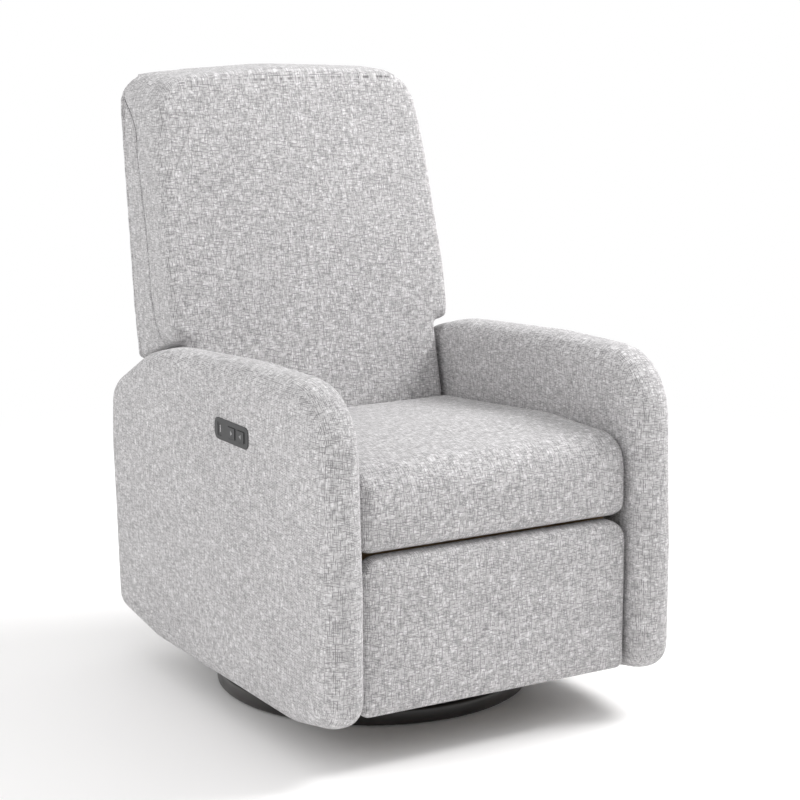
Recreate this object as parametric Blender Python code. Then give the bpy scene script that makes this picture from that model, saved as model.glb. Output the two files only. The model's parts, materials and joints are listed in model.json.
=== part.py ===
"""Power swivel glider recliner for a nursery, as separate pieces on their joint axes.

The chair faces -Y and stands on the floor at z = 0, with the swivel axis on Z.
Metres throughout. Each moving body hangs from an empty that sits on its joint's axis.
"""

import math

import bmesh
import bpy
from mathutils import Vector

# Overall sizes
WIDTH = 0.696
HEIGHT = 1.112
ARM_FRONT_Y = -0.459
ARM_REAR_Y = 0.408
BACK_REAR_Y = 0.465
UNDERSIDE_Z = 0.061

# Arms
ARM_THICK = 0.079
ARM_TOP_Z = 0.650
ARM_EDGE_ROUND = 0.028
ARM_TOE_LIFT = 0.026
ARM_TOE_RUN = 0.150
ARM_FRONT_ROUND = 0.120
ARM_FRONT_LEAN = 0.018
ARM_FRONT_Z = 0.300
ARM_CREST_RUN = 0.310
ARM_TAIL_RUN = 0.255
ARM_TAIL_DROP = 0.021
ARM_SHOULDER_RUN = 0.155
ARM_SHOULDER_DROP = 0.046
ARM_NAPE_RUN = 0.008
ARM_NAPE_DROP = 0.122
ARM_REAR_Z = 0.420
ARM_HEEL_RUN = 0.190
ARM_HEEL_LIFT = 0.026
ARM_HEEL_LEAN = 0.020
ARM_WIDE_ROUND = 0.400
ARM_SOFT_ROUND = 0.200
ARM_PANEL_THICK = 0.012
ARM_PANEL_AT = 0.36
ARM_PANEL_INSET = 0.045
ARM_PANEL_LIFT = 0.032
ARM_PANEL_DROP = 0.120
ARM_PANEL_REAR = 0.130
ARM_POCKET_ROOM = 0.001
ARM_POCKET_BELOW = 0.050

# Clearances
TOUCH = 0.0004
SLIDE_GAP = 0.0015
MOVING_GAP = 0.005
PIN_ROOM = 0.0005
CUT_OVER = 0.010

# Seat box and cushion
SEAT_BASE_Z = 0.312
SEAT_RAIL_HEIGHT = 0.042
SEAT_RAIL_THICK = 0.035
SEAT_BOX_REAR_Y = 0.130
DECK_THICK = 0.008
CUSHION_FRONT_Y = -0.423
CUSHION_HEIGHT = 0.148
CUSHION_DROP = 0.030
CUSHION_ROUND = 0.022
CUSHION_REAR_GAP = 0.006

# Back, measured on its front and rear planes
BACK_FRONT_Y_AT_SEAT = 0.167
BACK_FRONT_SLOPE = 0.231
BACK_REAR_SLOPE = 0.122
BACK_WING_HALF = 0.301
BACK_REAR_HALF = 0.290
BACK_WING_Z = 0.622
BACK_WING_DROP = 0.060
BACK_CUSHION_Z = 0.386
BACK_EDGE_ROUND = 0.016
BACK_SHOULDER = 0.105
BACK_REAR_SHOULDER = 0.060
BACK_PANEL_THICK = 0.014
BACK_PANEL_Z = 0.130
BACK_PANEL_RETURN = 0.062
BACK_POST_WIDTH = 0.036
BACK_POST_THICK = 0.026
BACK_POST_Z = 0.335
BACK_RAIL_HEIGHT = 0.050
RECLINE_Y = 0.200
RECLINE_Z = 0.360
BACK_BRACKET_HEIGHT = 0.040

# Steel plates and pins, from the middle outwards
PLATE_THICK = 0.004
PLATE_STEP = 0.009
SIDE_PLATE_INSET = 0.072
PIN_RADIUS = 0.005
BOSS_RADIUS = 0.016
CROSS_TUBE_RADIUS = 0.0125
CROSS_TUBE_FRONT_Y = -0.200
CROSS_TUBE_REAR_Y = 0.060
CROSS_TUBE_Z = 0.2925

# Floor ring, bearing and glider frame
RING_RADIUS = 0.289
RING_BAND = 0.050
RING_HEIGHT = 0.030
PAD_HEIGHT = 0.003
PAD_RADIUS = 0.016
CROSS_BAR_WIDTH = 0.050
CROSS_BAR_HEIGHT = 0.010
HUB_RADIUS = 0.075
BEARING_HEIGHT = 0.010
BEARING_GAP = 0.0015
KING_PIN_RADIUS = 0.009
KING_PIN_ROOM = 0.001
GLIDE_PLATE_THICK = 0.008
GLIDE_PLATE_HALF_Y = 0.070
GLIDE_FRONT_Y = -0.120
GLIDE_REAR_Y = 0.085
GLIDE_TOP_Z = 0.250
GLIDE_LINK_LENGTH = 0.100

# Footrest: panel, and the two bars that carry it on each side
FOOT_TOP_GAP = 0.004
FOOT_FRONT_Y = -0.423
FOOT_BOTTOM_Z = 0.087
FOOT_PAD_THICK = 0.036
FOOT_BOARD_THICK = 0.012
FOOT_CORNER = 0.038
FOOT_LOW_CORNER = 0.016
FOOT_EDGE_ROUND = 0.012
FOOT_BOARD_INSET = 0.012
FOOT_SIDE_GAP = 0.0035
FOOT_FLANGE = 0.024
FOOT_PIVOT_ROOM = 0.0026
FOOT_PIVOT_DROP = 0.051
LOWER_LINK_LENGTH = 0.130
LOWER_LINK_ANGLE = math.radians(-100.0)
UPPER_LINK_LENGTH = 0.150
UPPER_LINK_ANGLE = math.radians(75.0)
LINK_WIDTH = 0.022
TORQUE_TUBE_RADIUS = 0.009

# Drive
LEVER_LENGTH = 0.050
LEVER_ANGLE = math.radians(-145.0)
LEVER_THICK = 0.006
SLOT_ROOM = 0.0036
NUT_SIDE = 0.034
NUT_Y = -0.170
RAIL_SIDE = 0.014
RAIL_Z = 0.240
RAIL_FRONT_Y = -0.275
MOTOR_LENGTH = 0.110
MOTOR_HALF_WIDTH = 0.036

# Control panel on the sitter's right arm
PANEL_Y = -0.128
PANEL_Z = 0.5243
PANEL_LENGTH = 0.125
PANEL_HEIGHT = 0.038
PANEL_PROUD = 0.003
PANEL_POCKET = 0.022
PANEL_CORNER = 0.012
POCKET_MARGIN_Y = 0.007
POCKET_MARGIN_Z = 0.004
HOUSING_MARGIN = 0.0015
HOUSING_SINK = 0.004
SOCKET_AT = 0.34
SOCKET_LENGTH = 0.014
SOCKET_HEIGHT = 0.022
SOCKET_DEPTH = 0.016
SLOT_LENGTH = 0.0056
SLOT_HEIGHT = 0.0130
SLOT_DEPTH = 0.0135
RETURN_AT = -0.02
RECLINE_AT = -0.29
BUTTON_LENGTH = 0.026
BUTTON_HEIGHT = 0.020
BUTTON_TRAVEL = 0.0015
BUTTON_PROUD = 0.0012
BUTTON_ROOM = 0.0006
SOCKET_SINK = 0.0006

# Power inlet under the seat box
INLET_X = -0.120
INLET_SIDE = 0.024
INLET_DEPTH = 0.018
INLET_RADIUS = 0.004

CIRCLE_STEPS = 20
LEAST_REACH = 0.003
STRAIGHT = math.radians(89.0)
RING_STEPS = 56

# Worked out from the sizes above
INNER_X = WIDTH / 2 - ARM_THICK
SIDE_PLATE_X = INNER_X - SIDE_PLATE_INSET
GLIDE_LINK_X = SIDE_PLATE_X - PLATE_STEP
GLIDE_BRACKET_X = GLIDE_LINK_X - PLATE_STEP
LOWER_LINK_X = SIDE_PLATE_X + PLATE_STEP
UPPER_LINK_X = LOWER_LINK_X + PLATE_STEP
FOOT_BRACKET_X = UPPER_LINK_X + PLATE_STEP
BACK_BRACKET_X = LOWER_LINK_X
BACK_HALF = INNER_X - MOVING_GAP
FOOT_HALF = INNER_X - FOOT_SIDE_GAP
SEAT_TOP_Z = SEAT_BASE_Z + SEAT_RAIL_HEIGHT
CUSHION_Z = SEAT_TOP_Z + DECK_THICK + 2 * TOUCH
FOOT_TOP_Z = CUSHION_Z - FOOT_TOP_GAP
GLIDE_LOW_Z = GLIDE_TOP_Z - GLIDE_LINK_LENGTH
CROSS_BAR_Z = PAD_HEIGHT + RING_HEIGHT + 2 * TOUCH
BEARING_Z = CROSS_BAR_Z + CROSS_BAR_HEIGHT + TOUCH
UPPER_BEARING_Z = BEARING_Z + BEARING_HEIGHT + BEARING_GAP
GLIDE_PLATE_Z = UPPER_BEARING_Z + BEARING_HEIGHT + TOUCH
FOOT_BACK_Y = FOOT_FRONT_Y + FOOT_PAD_THICK + TOUCH + FOOT_BOARD_THICK
SEAT_BOX_FRONT_Y = FOOT_BACK_Y + LINK_WIDTH + FOOT_PIVOT_ROOM + MOVING_GAP
RECLINE_AXIS = Vector((0.0, RECLINE_Y, RECLINE_Z))


def forward_up(length, angle):
    """A step of this length in the side view, with the angle from straight ahead towards up."""
    return Vector((0.0, -length * math.cos(angle), length * math.sin(angle)))


ANKLE_AXIS = Vector((0.0, FOOT_BACK_Y + FOOT_PIVOT_ROOM + LINK_WIDTH / 2, FOOT_TOP_Z - FOOT_PIVOT_DROP))
KNEE_AXIS = ANKLE_AXIS - forward_up(UPPER_LINK_LENGTH, UPPER_LINK_ANGLE)
FOOT_AXIS = KNEE_AXIS - forward_up(LOWER_LINK_LENGTH, LOWER_LINK_ANGLE)


def clear_scene():
    for obj in list(bpy.data.objects):
        bpy.data.objects.remove(obj, do_unlink=True)


def material(name, colour, roughness, metallic=0.0):
    made = bpy.data.materials.new(name)
    made.use_nodes = True
    shader = made.node_tree.nodes["Principled BSDF"]
    shader.inputs["Base Color"].default_value = (*colour, 1.0)
    shader.inputs["Roughness"].default_value = roughness
    shader.inputs["Metallic"].default_value = metallic
    return made


def body(name, parent=None, at=(0.0, 0.0, 0.0)):
    """An empty on a body's joint axis; everything in the body is parented to it."""
    empty = bpy.data.objects.new(name, None)
    bpy.context.scene.collection.objects.link(empty)
    empty["world"] = list(at)
    empty.parent = parent
    start = Vector(parent["world"]) if parent else Vector((0.0, 0.0, 0.0))
    empty.location = Vector(at) - start
    return empty


def piece(name, mesh_data, finish, holder):
    """An object of a finished bmesh, moved so that its origin is its body's axis."""
    bmesh.ops.recalc_face_normals(mesh_data, faces=mesh_data.faces)
    bmesh.ops.translate(mesh_data, verts=mesh_data.verts, vec=-Vector(holder["world"]))
    mesh = bpy.data.meshes.new(name)
    mesh_data.to_mesh(mesh)
    mesh_data.free()
    mesh.materials.append(finish)
    mesh.shade_smooth()
    mesh.set_sharp_from_angle(angle=math.radians(40.0))
    obj = bpy.data.objects.new(name, mesh)
    bpy.context.scene.collection.objects.link(obj)
    obj.parent = holder
    return obj


def change(obj, tool_mesh, operation, holder, finish):
    """Cuts or joins another closed shape, kept beside the piece as a hidden helper."""
    name = f"{obj.name}_tool_{len(obj.modifiers) + 1}"
    tool = piece(name, tool_mesh, finish, holder)
    tool.hide_render = True
    tool.display_type = "WIRE"
    modifier = obj.modifiers.new(name, "BOOLEAN")
    modifier.operation = operation
    modifier.object = tool
    return obj


def corner_arc(before, corner, after, radius, steps):
    """The points of one rounded corner of an outline."""
    here = Vector(corner)
    to_before = Vector(before) - here
    to_after = Vector(after) - here
    half = to_before.angle(to_after) / 2
    if radius == 0:
        return [here]
    reach = max(radius / math.tan(half), LEAST_REACH)
    reach = min(reach, 0.49 * to_before.length, 0.49 * to_after.length)
    start = here + to_before.normalized() * reach
    end = here + to_after.normalized() * reach
    if half > STRAIGHT:
        return [start.lerp(end, step / steps) for step in range(steps + 1)]
    middle = here + (to_before.normalized() + to_after.normalized()).normalized() * reach / math.cos(half)
    from_start = start - middle
    turn = from_start.angle_signed(end - middle)
    points = []
    for step in range(steps + 1):
        angle = -turn * step / steps
        cos, sin = math.cos(angle), math.sin(angle)
        points.append(
            middle + Vector((from_start.x * cos - from_start.y * sin, from_start.x * sin + from_start.y * cos))
        )
    return points


def outline(corners, steps=4):
    """A closed outline from (a, b, radius) corners, each rounded by its own radius."""
    points = []
    for index, (a, b, radius) in enumerate(corners):
        before = corners[index - 1][:2]
        after = corners[(index + 1) % len(corners)][:2]
        points += corner_arc(before, (a, b), after, radius, steps)
    return points


def side_prism(points, x_low, x_high, edge_round=0.0, segments=3):
    """An outline in the side view (y, z), carried across from x_low to x_high."""
    shape = bmesh.new()
    verts = [shape.verts.new((x_low, point[0], point[1])) for point in points]
    first = shape.faces.new(verts)
    made = bmesh.ops.extrude_face_region(shape, geom=[first])
    moved = [item for item in made["geom"] if isinstance(item, bmesh.types.BMVert)]
    bmesh.ops.translate(shape, verts=moved, vec=(x_high - x_low, 0.0, 0.0))
    bmesh.ops.recalc_face_normals(shape, faces=shape.faces)
    if edge_round > 0:
        rims = [
            edge
            for edge in shape.edges
            if abs(edge.verts[0].co.x - edge.verts[1].co.x) < 1e-6
        ]
        bmesh.ops.bevel(
            shape,
            geom=rims,
            offset=edge_round,
            segments=segments,
            profile=0.5,
            affect="EDGES",
            material=-1,
        )
    return shape


def box(low, high, edge_round=0.0, segments=2):
    """A box between two corners, with its edges rounded where edge_round is given."""
    shape = bmesh.new()
    bmesh.ops.create_cube(shape, size=1.0)
    low, high = Vector(low), Vector(high)
    bmesh.ops.scale(shape, verts=shape.verts, vec=high - low)
    bmesh.ops.translate(shape, verts=shape.verts, vec=(low + high) / 2)
    if edge_round > 0:
        bmesh.ops.bevel(
            shape,
            geom=shape.edges[:],
            offset=edge_round,
            segments=segments,
            profile=0.5,
            affect="EDGES",
            material=-1,
        )
    return shape


def cylinder(start, end, radius, steps=CIRCLE_STEPS):
    """A round bar from start to end."""
    start, end = Vector(start), Vector(end)
    shape = bmesh.new()
    bmesh.ops.create_cone(
        shape,
        cap_ends=True,
        segments=steps,
        radius1=radius,
        radius2=radius,
        depth=(end - start).length,
    )
    turn = Vector((0.0, 0.0, 1.0)).rotation_difference(end - start).to_matrix()
    bmesh.ops.rotate(shape, verts=shape.verts, matrix=turn)
    bmesh.ops.translate(shape, verts=shape.verts, vec=(start + end) / 2)
    return shape


def merged(shapes):
    """Several closed shapes in one bmesh, for a tool that cuts or joins at several places."""
    whole = bmesh.new()
    for shape in shapes:
        mesh = bpy.data.meshes.new("part_of_tool")
        shape.to_mesh(mesh)
        shape.free()
        whole.from_mesh(mesh)
        bpy.data.meshes.remove(mesh)
    return whole


def turned(profile, steps=RING_STEPS):
    """A ring turned about the swivel axis from a closed (radius, z) outline."""
    shape = bmesh.new()
    verts = [shape.verts.new((point[0], 0.0, point[1])) for point in profile]
    edges = [shape.edges.new((verts[index - 1], verts[index])) for index in range(len(verts))]
    bmesh.ops.spin(
        shape,
        geom=verts + edges,
        cent=(0.0, 0.0, 0.0),
        axis=(0.0, 0.0, 1.0),
        angle=math.tau,
        steps=steps,
        use_merge=True,
    )
    bmesh.ops.remove_doubles(shape, verts=shape.verts, dist=1e-5)
    bmesh.ops.recalc_face_normals(shape, faces=shape.faces)
    return shape


def across(axis, x_low, x_high, radius):
    """A round bar along X, through a point of the side view."""
    return cylinder((x_low, axis[1], axis[2]), (x_high, axis[1], axis[2]), radius)


def bar_outline(start, end, width):
    """A flat bar's side view: two round ends about its two pivots."""
    run = (Vector((end[1], end[2])) - Vector((start[1], start[2])))
    heading = math.atan2(run.y, run.x)
    points = []
    for centre, first in ((end, heading - math.pi / 2), (start, heading + math.pi / 2)):
        for step in range(7):
            angle = first + math.pi * step / 6
            points.append((centre[1] + width / 2 * math.cos(angle), centre[2] + width / 2 * math.sin(angle)))
    return points


def sides():
    """The chair's two sides: the sitter's left is at +X."""
    return (("left", 1.0), ("right", -1.0))


def ordered(a, b):
    return (min(a, b), max(a, b))


def plate_span(x_middle, sign):
    """The two faces of a steel plate whose middle is x_middle from the centre."""
    return ordered(sign * (x_middle - PLATE_THICK / 2), sign * (x_middle + PLATE_THICK / 2))


def back_front_y(z):
    return BACK_FRONT_Y_AT_SEAT + BACK_FRONT_SLOPE * (z - CUSHION_Z - CUSHION_HEIGHT + CUSHION_DROP)


def back_rear_y(z):
    return BACK_REAR_Y + BACK_REAR_SLOPE * (z - HEIGHT)


def lean_loft(front, rear, front_y, rear_y, front_round=0.0, rear_round=0.0, segments=3):
    """A solid between two outlines of the front view (x, z), which lie on two leaning planes."""
    shape = bmesh.new()
    near = [shape.verts.new((point[0], front_y(point[1]), point[1])) for point in front]
    far = [shape.verts.new((point[0], rear_y(point[1]), point[1])) for point in rear]
    shape.faces.new(near)
    shape.faces.new(list(reversed(far)))
    for index, vert in enumerate(near):
        shape.faces.new((near[index - 1], far[index - 1], far[index], vert))
    bmesh.ops.recalc_face_normals(shape, faces=shape.faces)
    for offset, plane in ((front_round, front_y), (rear_round, rear_y)):
        if offset <= 0:
            continue
        bmesh.ops.bevel(
            shape,
            geom=[edge for edge in shape.edges if edge_on_rim(edge, plane)],
            offset=offset,
            segments=segments,
            profile=0.5,
            affect="EDGES",
            material=-1,
        )
    return shape


def lean_prism(points, front_y, rear_y, front_round=0.0, rear_round=0.0, segments=3):
    """A lean_loft with the same outline at the front and the rear."""
    return lean_loft(points, points, front_y, rear_y, front_round, rear_round, segments)


def edge_on_rim(edge, plane):
    return all(abs(vert.co.y - plane(vert.co.z)) < 1e-5 for vert in edge.verts)


def build_base(finishes):
    """The floor ring, its cross bars, the pads and the fixed half of the bearing."""
    base = body("base")
    low, high = PAD_HEIGHT + TOUCH, PAD_HEIGHT + TOUCH + RING_HEIGHT
    inner = RING_RADIUS - RING_BAND
    edge = RING_HEIGHT * 0.45
    section = outline(
        [(inner, low, edge), (RING_RADIUS, low, edge), (RING_RADIUS, high, edge), (inner, high, edge)]
    )
    piece("base_ring", turned(section), finishes["black_steel"], base)
    reach = RING_RADIUS - RING_BAND / 2
    half = CROSS_BAR_WIDTH / 2
    top = CROSS_BAR_Z + CROSS_BAR_HEIGHT
    cross = piece(
        "base_cross",
        box((-reach, -half, CROSS_BAR_Z), (reach, half, top)),
        finishes["black_steel"],
        base,
    )
    tools = [
        box((-half, -reach, CROSS_BAR_Z), (half, reach, top)),
        cylinder((0, 0, CROSS_BAR_Z), (0, 0, top), HUB_RADIUS, 32),
    ]
    for tool in tools:
        change(cross, tool, "UNION", base, finishes["black_steel"])
    pin_hole = cylinder((0, 0, 0), (0, 0, 2 * top), KING_PIN_RADIUS + TOUCH)
    change(cross, pin_hole, "DIFFERENCE", base, finishes["black_steel"])
    for index in range(4):
        angle = math.pi / 4 + index * math.pi / 2
        centre = (reach * math.cos(angle), reach * math.sin(angle), 0.0)
        pad = cylinder(centre, (centre[0], centre[1], PAD_HEIGHT), PAD_RADIUS, 16)
        piece(f"floor_pad_{index + 1}", pad, finishes["rubber"], base)
    race = ring_disc(KING_PIN_RADIUS + TOUCH, HUB_RADIUS, BEARING_Z, BEARING_Z + BEARING_HEIGHT)
    piece("bearing_lower", race, finishes["zinc_steel"], base)
    pin_top = GLIDE_PLATE_Z + GLIDE_PLATE_THICK + 0.006
    pin = cylinder((0, 0, CROSS_BAR_Z - 0.006), (0, 0, pin_top), KING_PIN_RADIUS)
    piece("king_pin", pin, finishes["zinc_steel"], base)
    return base


def ring_disc(inner, outer, low, high, steps=32):
    """A flat round disc with a hole on the swivel axis."""
    return turned([(inner, low), (outer, low), (outer, high), (inner, high)], steps)


def build_swivel(finishes, base):
    """The turning half of the bearing and the glider frame that the links hang from."""
    swivel = body("swivel", base)
    hole = KING_PIN_RADIUS + KING_PIN_ROOM
    race = ring_disc(hole, HUB_RADIUS, UPPER_BEARING_Z, UPPER_BEARING_Z + BEARING_HEIGHT)
    piece("bearing_upper", race, finishes["zinc_steel"], swivel)
    reach = GLIDE_BRACKET_X - PLATE_THICK / 2 - TOUCH
    top = GLIDE_PLATE_Z + GLIDE_PLATE_THICK
    plate = piece(
        "glider_plate",
        box((-reach, -GLIDE_PLATE_HALF_Y, GLIDE_PLATE_Z), (reach, GLIDE_PLATE_HALF_Y, top)),
        finishes["black_steel"],
        swivel,
    )
    centre_hole = cylinder((0, 0, 0), (0, 0, 2 * top), hole)
    change(plate, centre_hole, "DIFFERENCE", swivel, finishes["black_steel"])
    tops = [(0.0, GLIDE_FRONT_Y, GLIDE_TOP_Z), (0.0, GLIDE_REAR_Y, GLIDE_TOP_Z)]
    corners = [
        (-GLIDE_PLATE_HALF_Y, GLIDE_PLATE_Z, 0.004),
        (GLIDE_PLATE_HALF_Y, GLIDE_PLATE_Z, 0.004),
        (GLIDE_PLATE_HALF_Y, GLIDE_TOP_Z - 0.075, 0.020),
        (GLIDE_REAR_Y + BOSS_RADIUS, GLIDE_TOP_Z - BOSS_RADIUS, BOSS_RADIUS),
        (GLIDE_REAR_Y + BOSS_RADIUS, GLIDE_TOP_Z + BOSS_RADIUS, BOSS_RADIUS),
        (GLIDE_FRONT_Y - BOSS_RADIUS, GLIDE_TOP_Z + BOSS_RADIUS, BOSS_RADIUS),
        (GLIDE_FRONT_Y - BOSS_RADIUS, GLIDE_TOP_Z - BOSS_RADIUS, BOSS_RADIUS),
        (-GLIDE_PLATE_HALF_Y, GLIDE_TOP_Z - 0.075, 0.020),
    ]
    for side, sign in sides():
        x_low, x_high = plate_span(GLIDE_BRACKET_X, sign)
        bracket = piece(
            f"glide_bracket_{side}",
            side_prism(outline(corners, 3), x_low, x_high),
            finishes["black_steel"],
            swivel,
        )
        holes = [across(top_pivot, x_low - 0.01, x_high + 0.01, PIN_RADIUS + PIN_ROOM) for top_pivot in tops]
        change(bracket, merged(holes), "DIFFERENCE", swivel, finishes["black_steel"])
    return swivel


def glide_link(name, y, side_sign, holder, finishes):
    """A short hanging bar with a pin through the bracket above and one through the side plate below."""
    top = (0.0, y, GLIDE_TOP_Z)
    low = (0.0, y, GLIDE_LOW_Z)
    x_low, x_high = plate_span(GLIDE_LINK_X, side_sign)
    link = piece(
        name,
        side_prism(bar_outline(low, top, 2 * BOSS_RADIUS), x_low, x_high),
        finishes["zinc_steel"],
        holder,
    )
    middle = side_sign * GLIDE_LINK_X
    inward = side_sign * (GLIDE_BRACKET_X - PLATE_THICK)
    outward = side_sign * (SIDE_PLATE_X + PLATE_THICK)
    pins = [across(top, *ordered(middle, inward), PIN_RADIUS), across(low, *ordered(middle, outward), PIN_RADIUS)]
    return change(link, merged(pins), "UNION", holder, finishes["zinc_steel"])


def build_glide_links(finishes, swivel):
    """The front and rear pairs of links; the carriage hangs from them."""
    front = body("front_links", swivel, (0.0, GLIDE_FRONT_Y, GLIDE_TOP_Z))
    rear = body("rear_links", swivel, (0.0, GLIDE_REAR_Y, GLIDE_TOP_Z))
    for side, sign in sides():
        glide_link(f"glide_link_front_{side}", GLIDE_FRONT_Y, sign, front, finishes)
        glide_link(f"glide_link_rear_{side}", GLIDE_REAR_Y, sign, rear, finishes)
    return front


def side_plate_corners():
    """The carriage plate: a long top bar, two ears down to the glide links and one up to the recline pin."""
    top = SEAT_BASE_Z - TOUCH
    under = CROSS_TUBE_Z - CROSS_TUBE_RADIUS - 0.006
    ear = GLIDE_LOW_Z - BOSS_RADIUS
    return [
        (FOOT_AXIS.y - BOSS_RADIUS, FOOT_AXIS.z - BOSS_RADIUS, BOSS_RADIUS),
        (GLIDE_FRONT_Y - 0.050, under, 0.020),
        (GLIDE_FRONT_Y - BOSS_RADIUS, ear, BOSS_RADIUS),
        (GLIDE_FRONT_Y + BOSS_RADIUS, ear, BOSS_RADIUS),
        (GLIDE_FRONT_Y + 0.050, under, 0.020),
        (GLIDE_REAR_Y - 0.050, under, 0.020),
        (GLIDE_REAR_Y - BOSS_RADIUS, ear, BOSS_RADIUS),
        (GLIDE_REAR_Y + BOSS_RADIUS, ear, BOSS_RADIUS),
        (GLIDE_REAR_Y + 0.050, under, 0.020),
        (RECLINE_Y + BOSS_RADIUS, RECLINE_Z - 0.045, 0.020),
        (RECLINE_Y + BOSS_RADIUS, RECLINE_Z + BOSS_RADIUS, BOSS_RADIUS),
        (RECLINE_Y - BOSS_RADIUS, RECLINE_Z + BOSS_RADIUS, BOSS_RADIUS),
        (SEAT_BOX_REAR_Y + 0.012, top, 0.010),
        (FOOT_AXIS.y - BOSS_RADIUS, top, BOSS_RADIUS),
    ]


def build_side_plates(finishes, carriage):
    """The two steel plates that hang on the glide links and carry the footrest and recline pivots."""
    points = outline(side_plate_corners(), 3)
    for side, sign in sides():
        x_low, x_high = plate_span(SIDE_PLATE_X, sign)
        plate = piece(
            f"side_plate_{side}",
            side_prism(points, x_low, x_high),
            finishes["black_steel"],
            carriage,
        )
        cut_low, cut_high = x_low - 0.01, x_high + 0.01
        holes = [
            across((0, GLIDE_FRONT_Y, GLIDE_LOW_Z), cut_low, cut_high, PIN_RADIUS + PIN_ROOM),
            across((0, GLIDE_REAR_Y, GLIDE_LOW_Z), cut_low, cut_high, PIN_RADIUS + PIN_ROOM),
            across(FOOT_AXIS, cut_low, cut_high, TORQUE_TUBE_RADIUS + PIN_ROOM),
            across(RECLINE_AXIS, cut_low, cut_high, PIN_RADIUS + PIN_ROOM),
        ]
        change(plate, merged(holes), "DIFFERENCE", carriage, finishes["black_steel"])


def build_seat_box(finishes, carriage):
    """Cross tubes, the wooden seat frame and the deck that holds the cushion."""
    reach = SIDE_PLATE_X - PLATE_THICK / 2 - TOUCH
    for name, y in (("cross_tube_front", CROSS_TUBE_FRONT_Y), ("cross_tube_rear", CROSS_TUBE_REAR_Y)):
        tube = across((0, y, CROSS_TUBE_Z), -reach, reach, CROSS_TUBE_RADIUS)
        piece(name, tube, finishes["black_steel"], carriage)
    outer = INNER_X - TOUCH
    inner = outer - SEAT_RAIL_THICK
    front_inside = SEAT_BOX_FRONT_Y + SEAT_RAIL_THICK
    rear_inside = SEAT_BOX_REAR_Y - SEAT_RAIL_THICK
    for name, near, far in (
        ("seat_rail_front", SEAT_BOX_FRONT_Y, front_inside),
        ("seat_rail_rear", rear_inside, SEAT_BOX_REAR_Y),
    ):
        rail = box((-outer, near, SEAT_BASE_Z), (outer, far, SEAT_TOP_Z))
        piece(name, rail, finishes["plywood"], carriage)
    for side, sign in sides():
        x_low, x_high = ordered(sign * inner, sign * outer)
        rail = box(
            (x_low, front_inside + TOUCH, SEAT_BASE_Z),
            (x_high, rear_inside - TOUCH, SEAT_TOP_Z),
        )
        piece(f"seat_rail_{side}", rail, finishes["plywood"], carriage)
    deck_z = SEAT_TOP_Z + TOUCH
    deck = box((-outer, SEAT_BOX_FRONT_Y, deck_z), (outer, SEAT_BOX_REAR_Y, deck_z + DECK_THICK))
    piece("seat_deck", deck, finishes["webbing"], carriage)


def build_seat_cushion(finishes, carriage):
    """The seat cushion: a waterfall front, a crowned top and a rear end that follows the back."""
    top = CUSHION_Z + CUSHION_HEIGHT

    def rear(z):
        return back_front_y(z) - CUSHION_REAR_GAP

    rear_top = top - CUSHION_DROP
    corners = [
        (CUSHION_FRONT_Y, CUSHION_Z, 0.024),
        (CUSHION_FRONT_Y + 0.003, top - 0.004, 0.058),
        (CUSHION_FRONT_Y + 0.220, top, 0.300),
        (rear(rear_top), rear_top, 0.012),
        (rear(CUSHION_Z), CUSHION_Z, 0.010),
    ]
    half = INNER_X - SLIDE_GAP
    solid = side_prism(outline(corners, 5), -half, half, CUSHION_ROUND)
    piece("seat_cushion", solid, finishes["fabric"], carriage)


def arm_corners():
    """The arm's side view: a full round front, a top that falls to the rear and two cut-up feet."""
    front, rear = ARM_FRONT_Y, ARM_REAR_Y
    return [
        (front, UNDERSIDE_Z + ARM_TOE_LIFT, 0.050),
        (front, ARM_FRONT_Z, ARM_WIDE_ROUND),
        (front + ARM_FRONT_LEAN, ARM_TOP_Z + 0.003, ARM_FRONT_ROUND),
        (front + ARM_CREST_RUN, ARM_TOP_Z, ARM_WIDE_ROUND),
        (rear - ARM_TAIL_RUN, ARM_TOP_Z - ARM_TAIL_DROP, ARM_WIDE_ROUND),
        (rear - ARM_SHOULDER_RUN, ARM_TOP_Z - ARM_SHOULDER_DROP, 0.150),
        (rear - ARM_NAPE_RUN, ARM_TOP_Z - ARM_NAPE_DROP, 0.060),
        (rear, ARM_REAR_Z, ARM_SOFT_ROUND),
        (rear - ARM_HEEL_LEAN, UNDERSIDE_Z + ARM_HEEL_LIFT, 0.040),
        (rear - ARM_HEEL_RUN, UNDERSIDE_Z, ARM_SOFT_ROUND),
        (front + ARM_TOE_RUN, UNDERSIDE_Z - 0.003, ARM_SOFT_ROUND),
    ]


def arm_panel_corners():
    """The plywood side inside the arm, set in from the arm's outline."""
    near, far = ARM_FRONT_Y + ARM_PANEL_INSET, ARM_REAR_Y - ARM_PANEL_REAR
    low, high = UNDERSIDE_Z + ARM_PANEL_LIFT, ARM_TOP_Z - ARM_PANEL_DROP
    return [(near, low, 0.0), (near, high, 0.060), (far, high, 0.040), (far, low, 0.0)]


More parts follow.
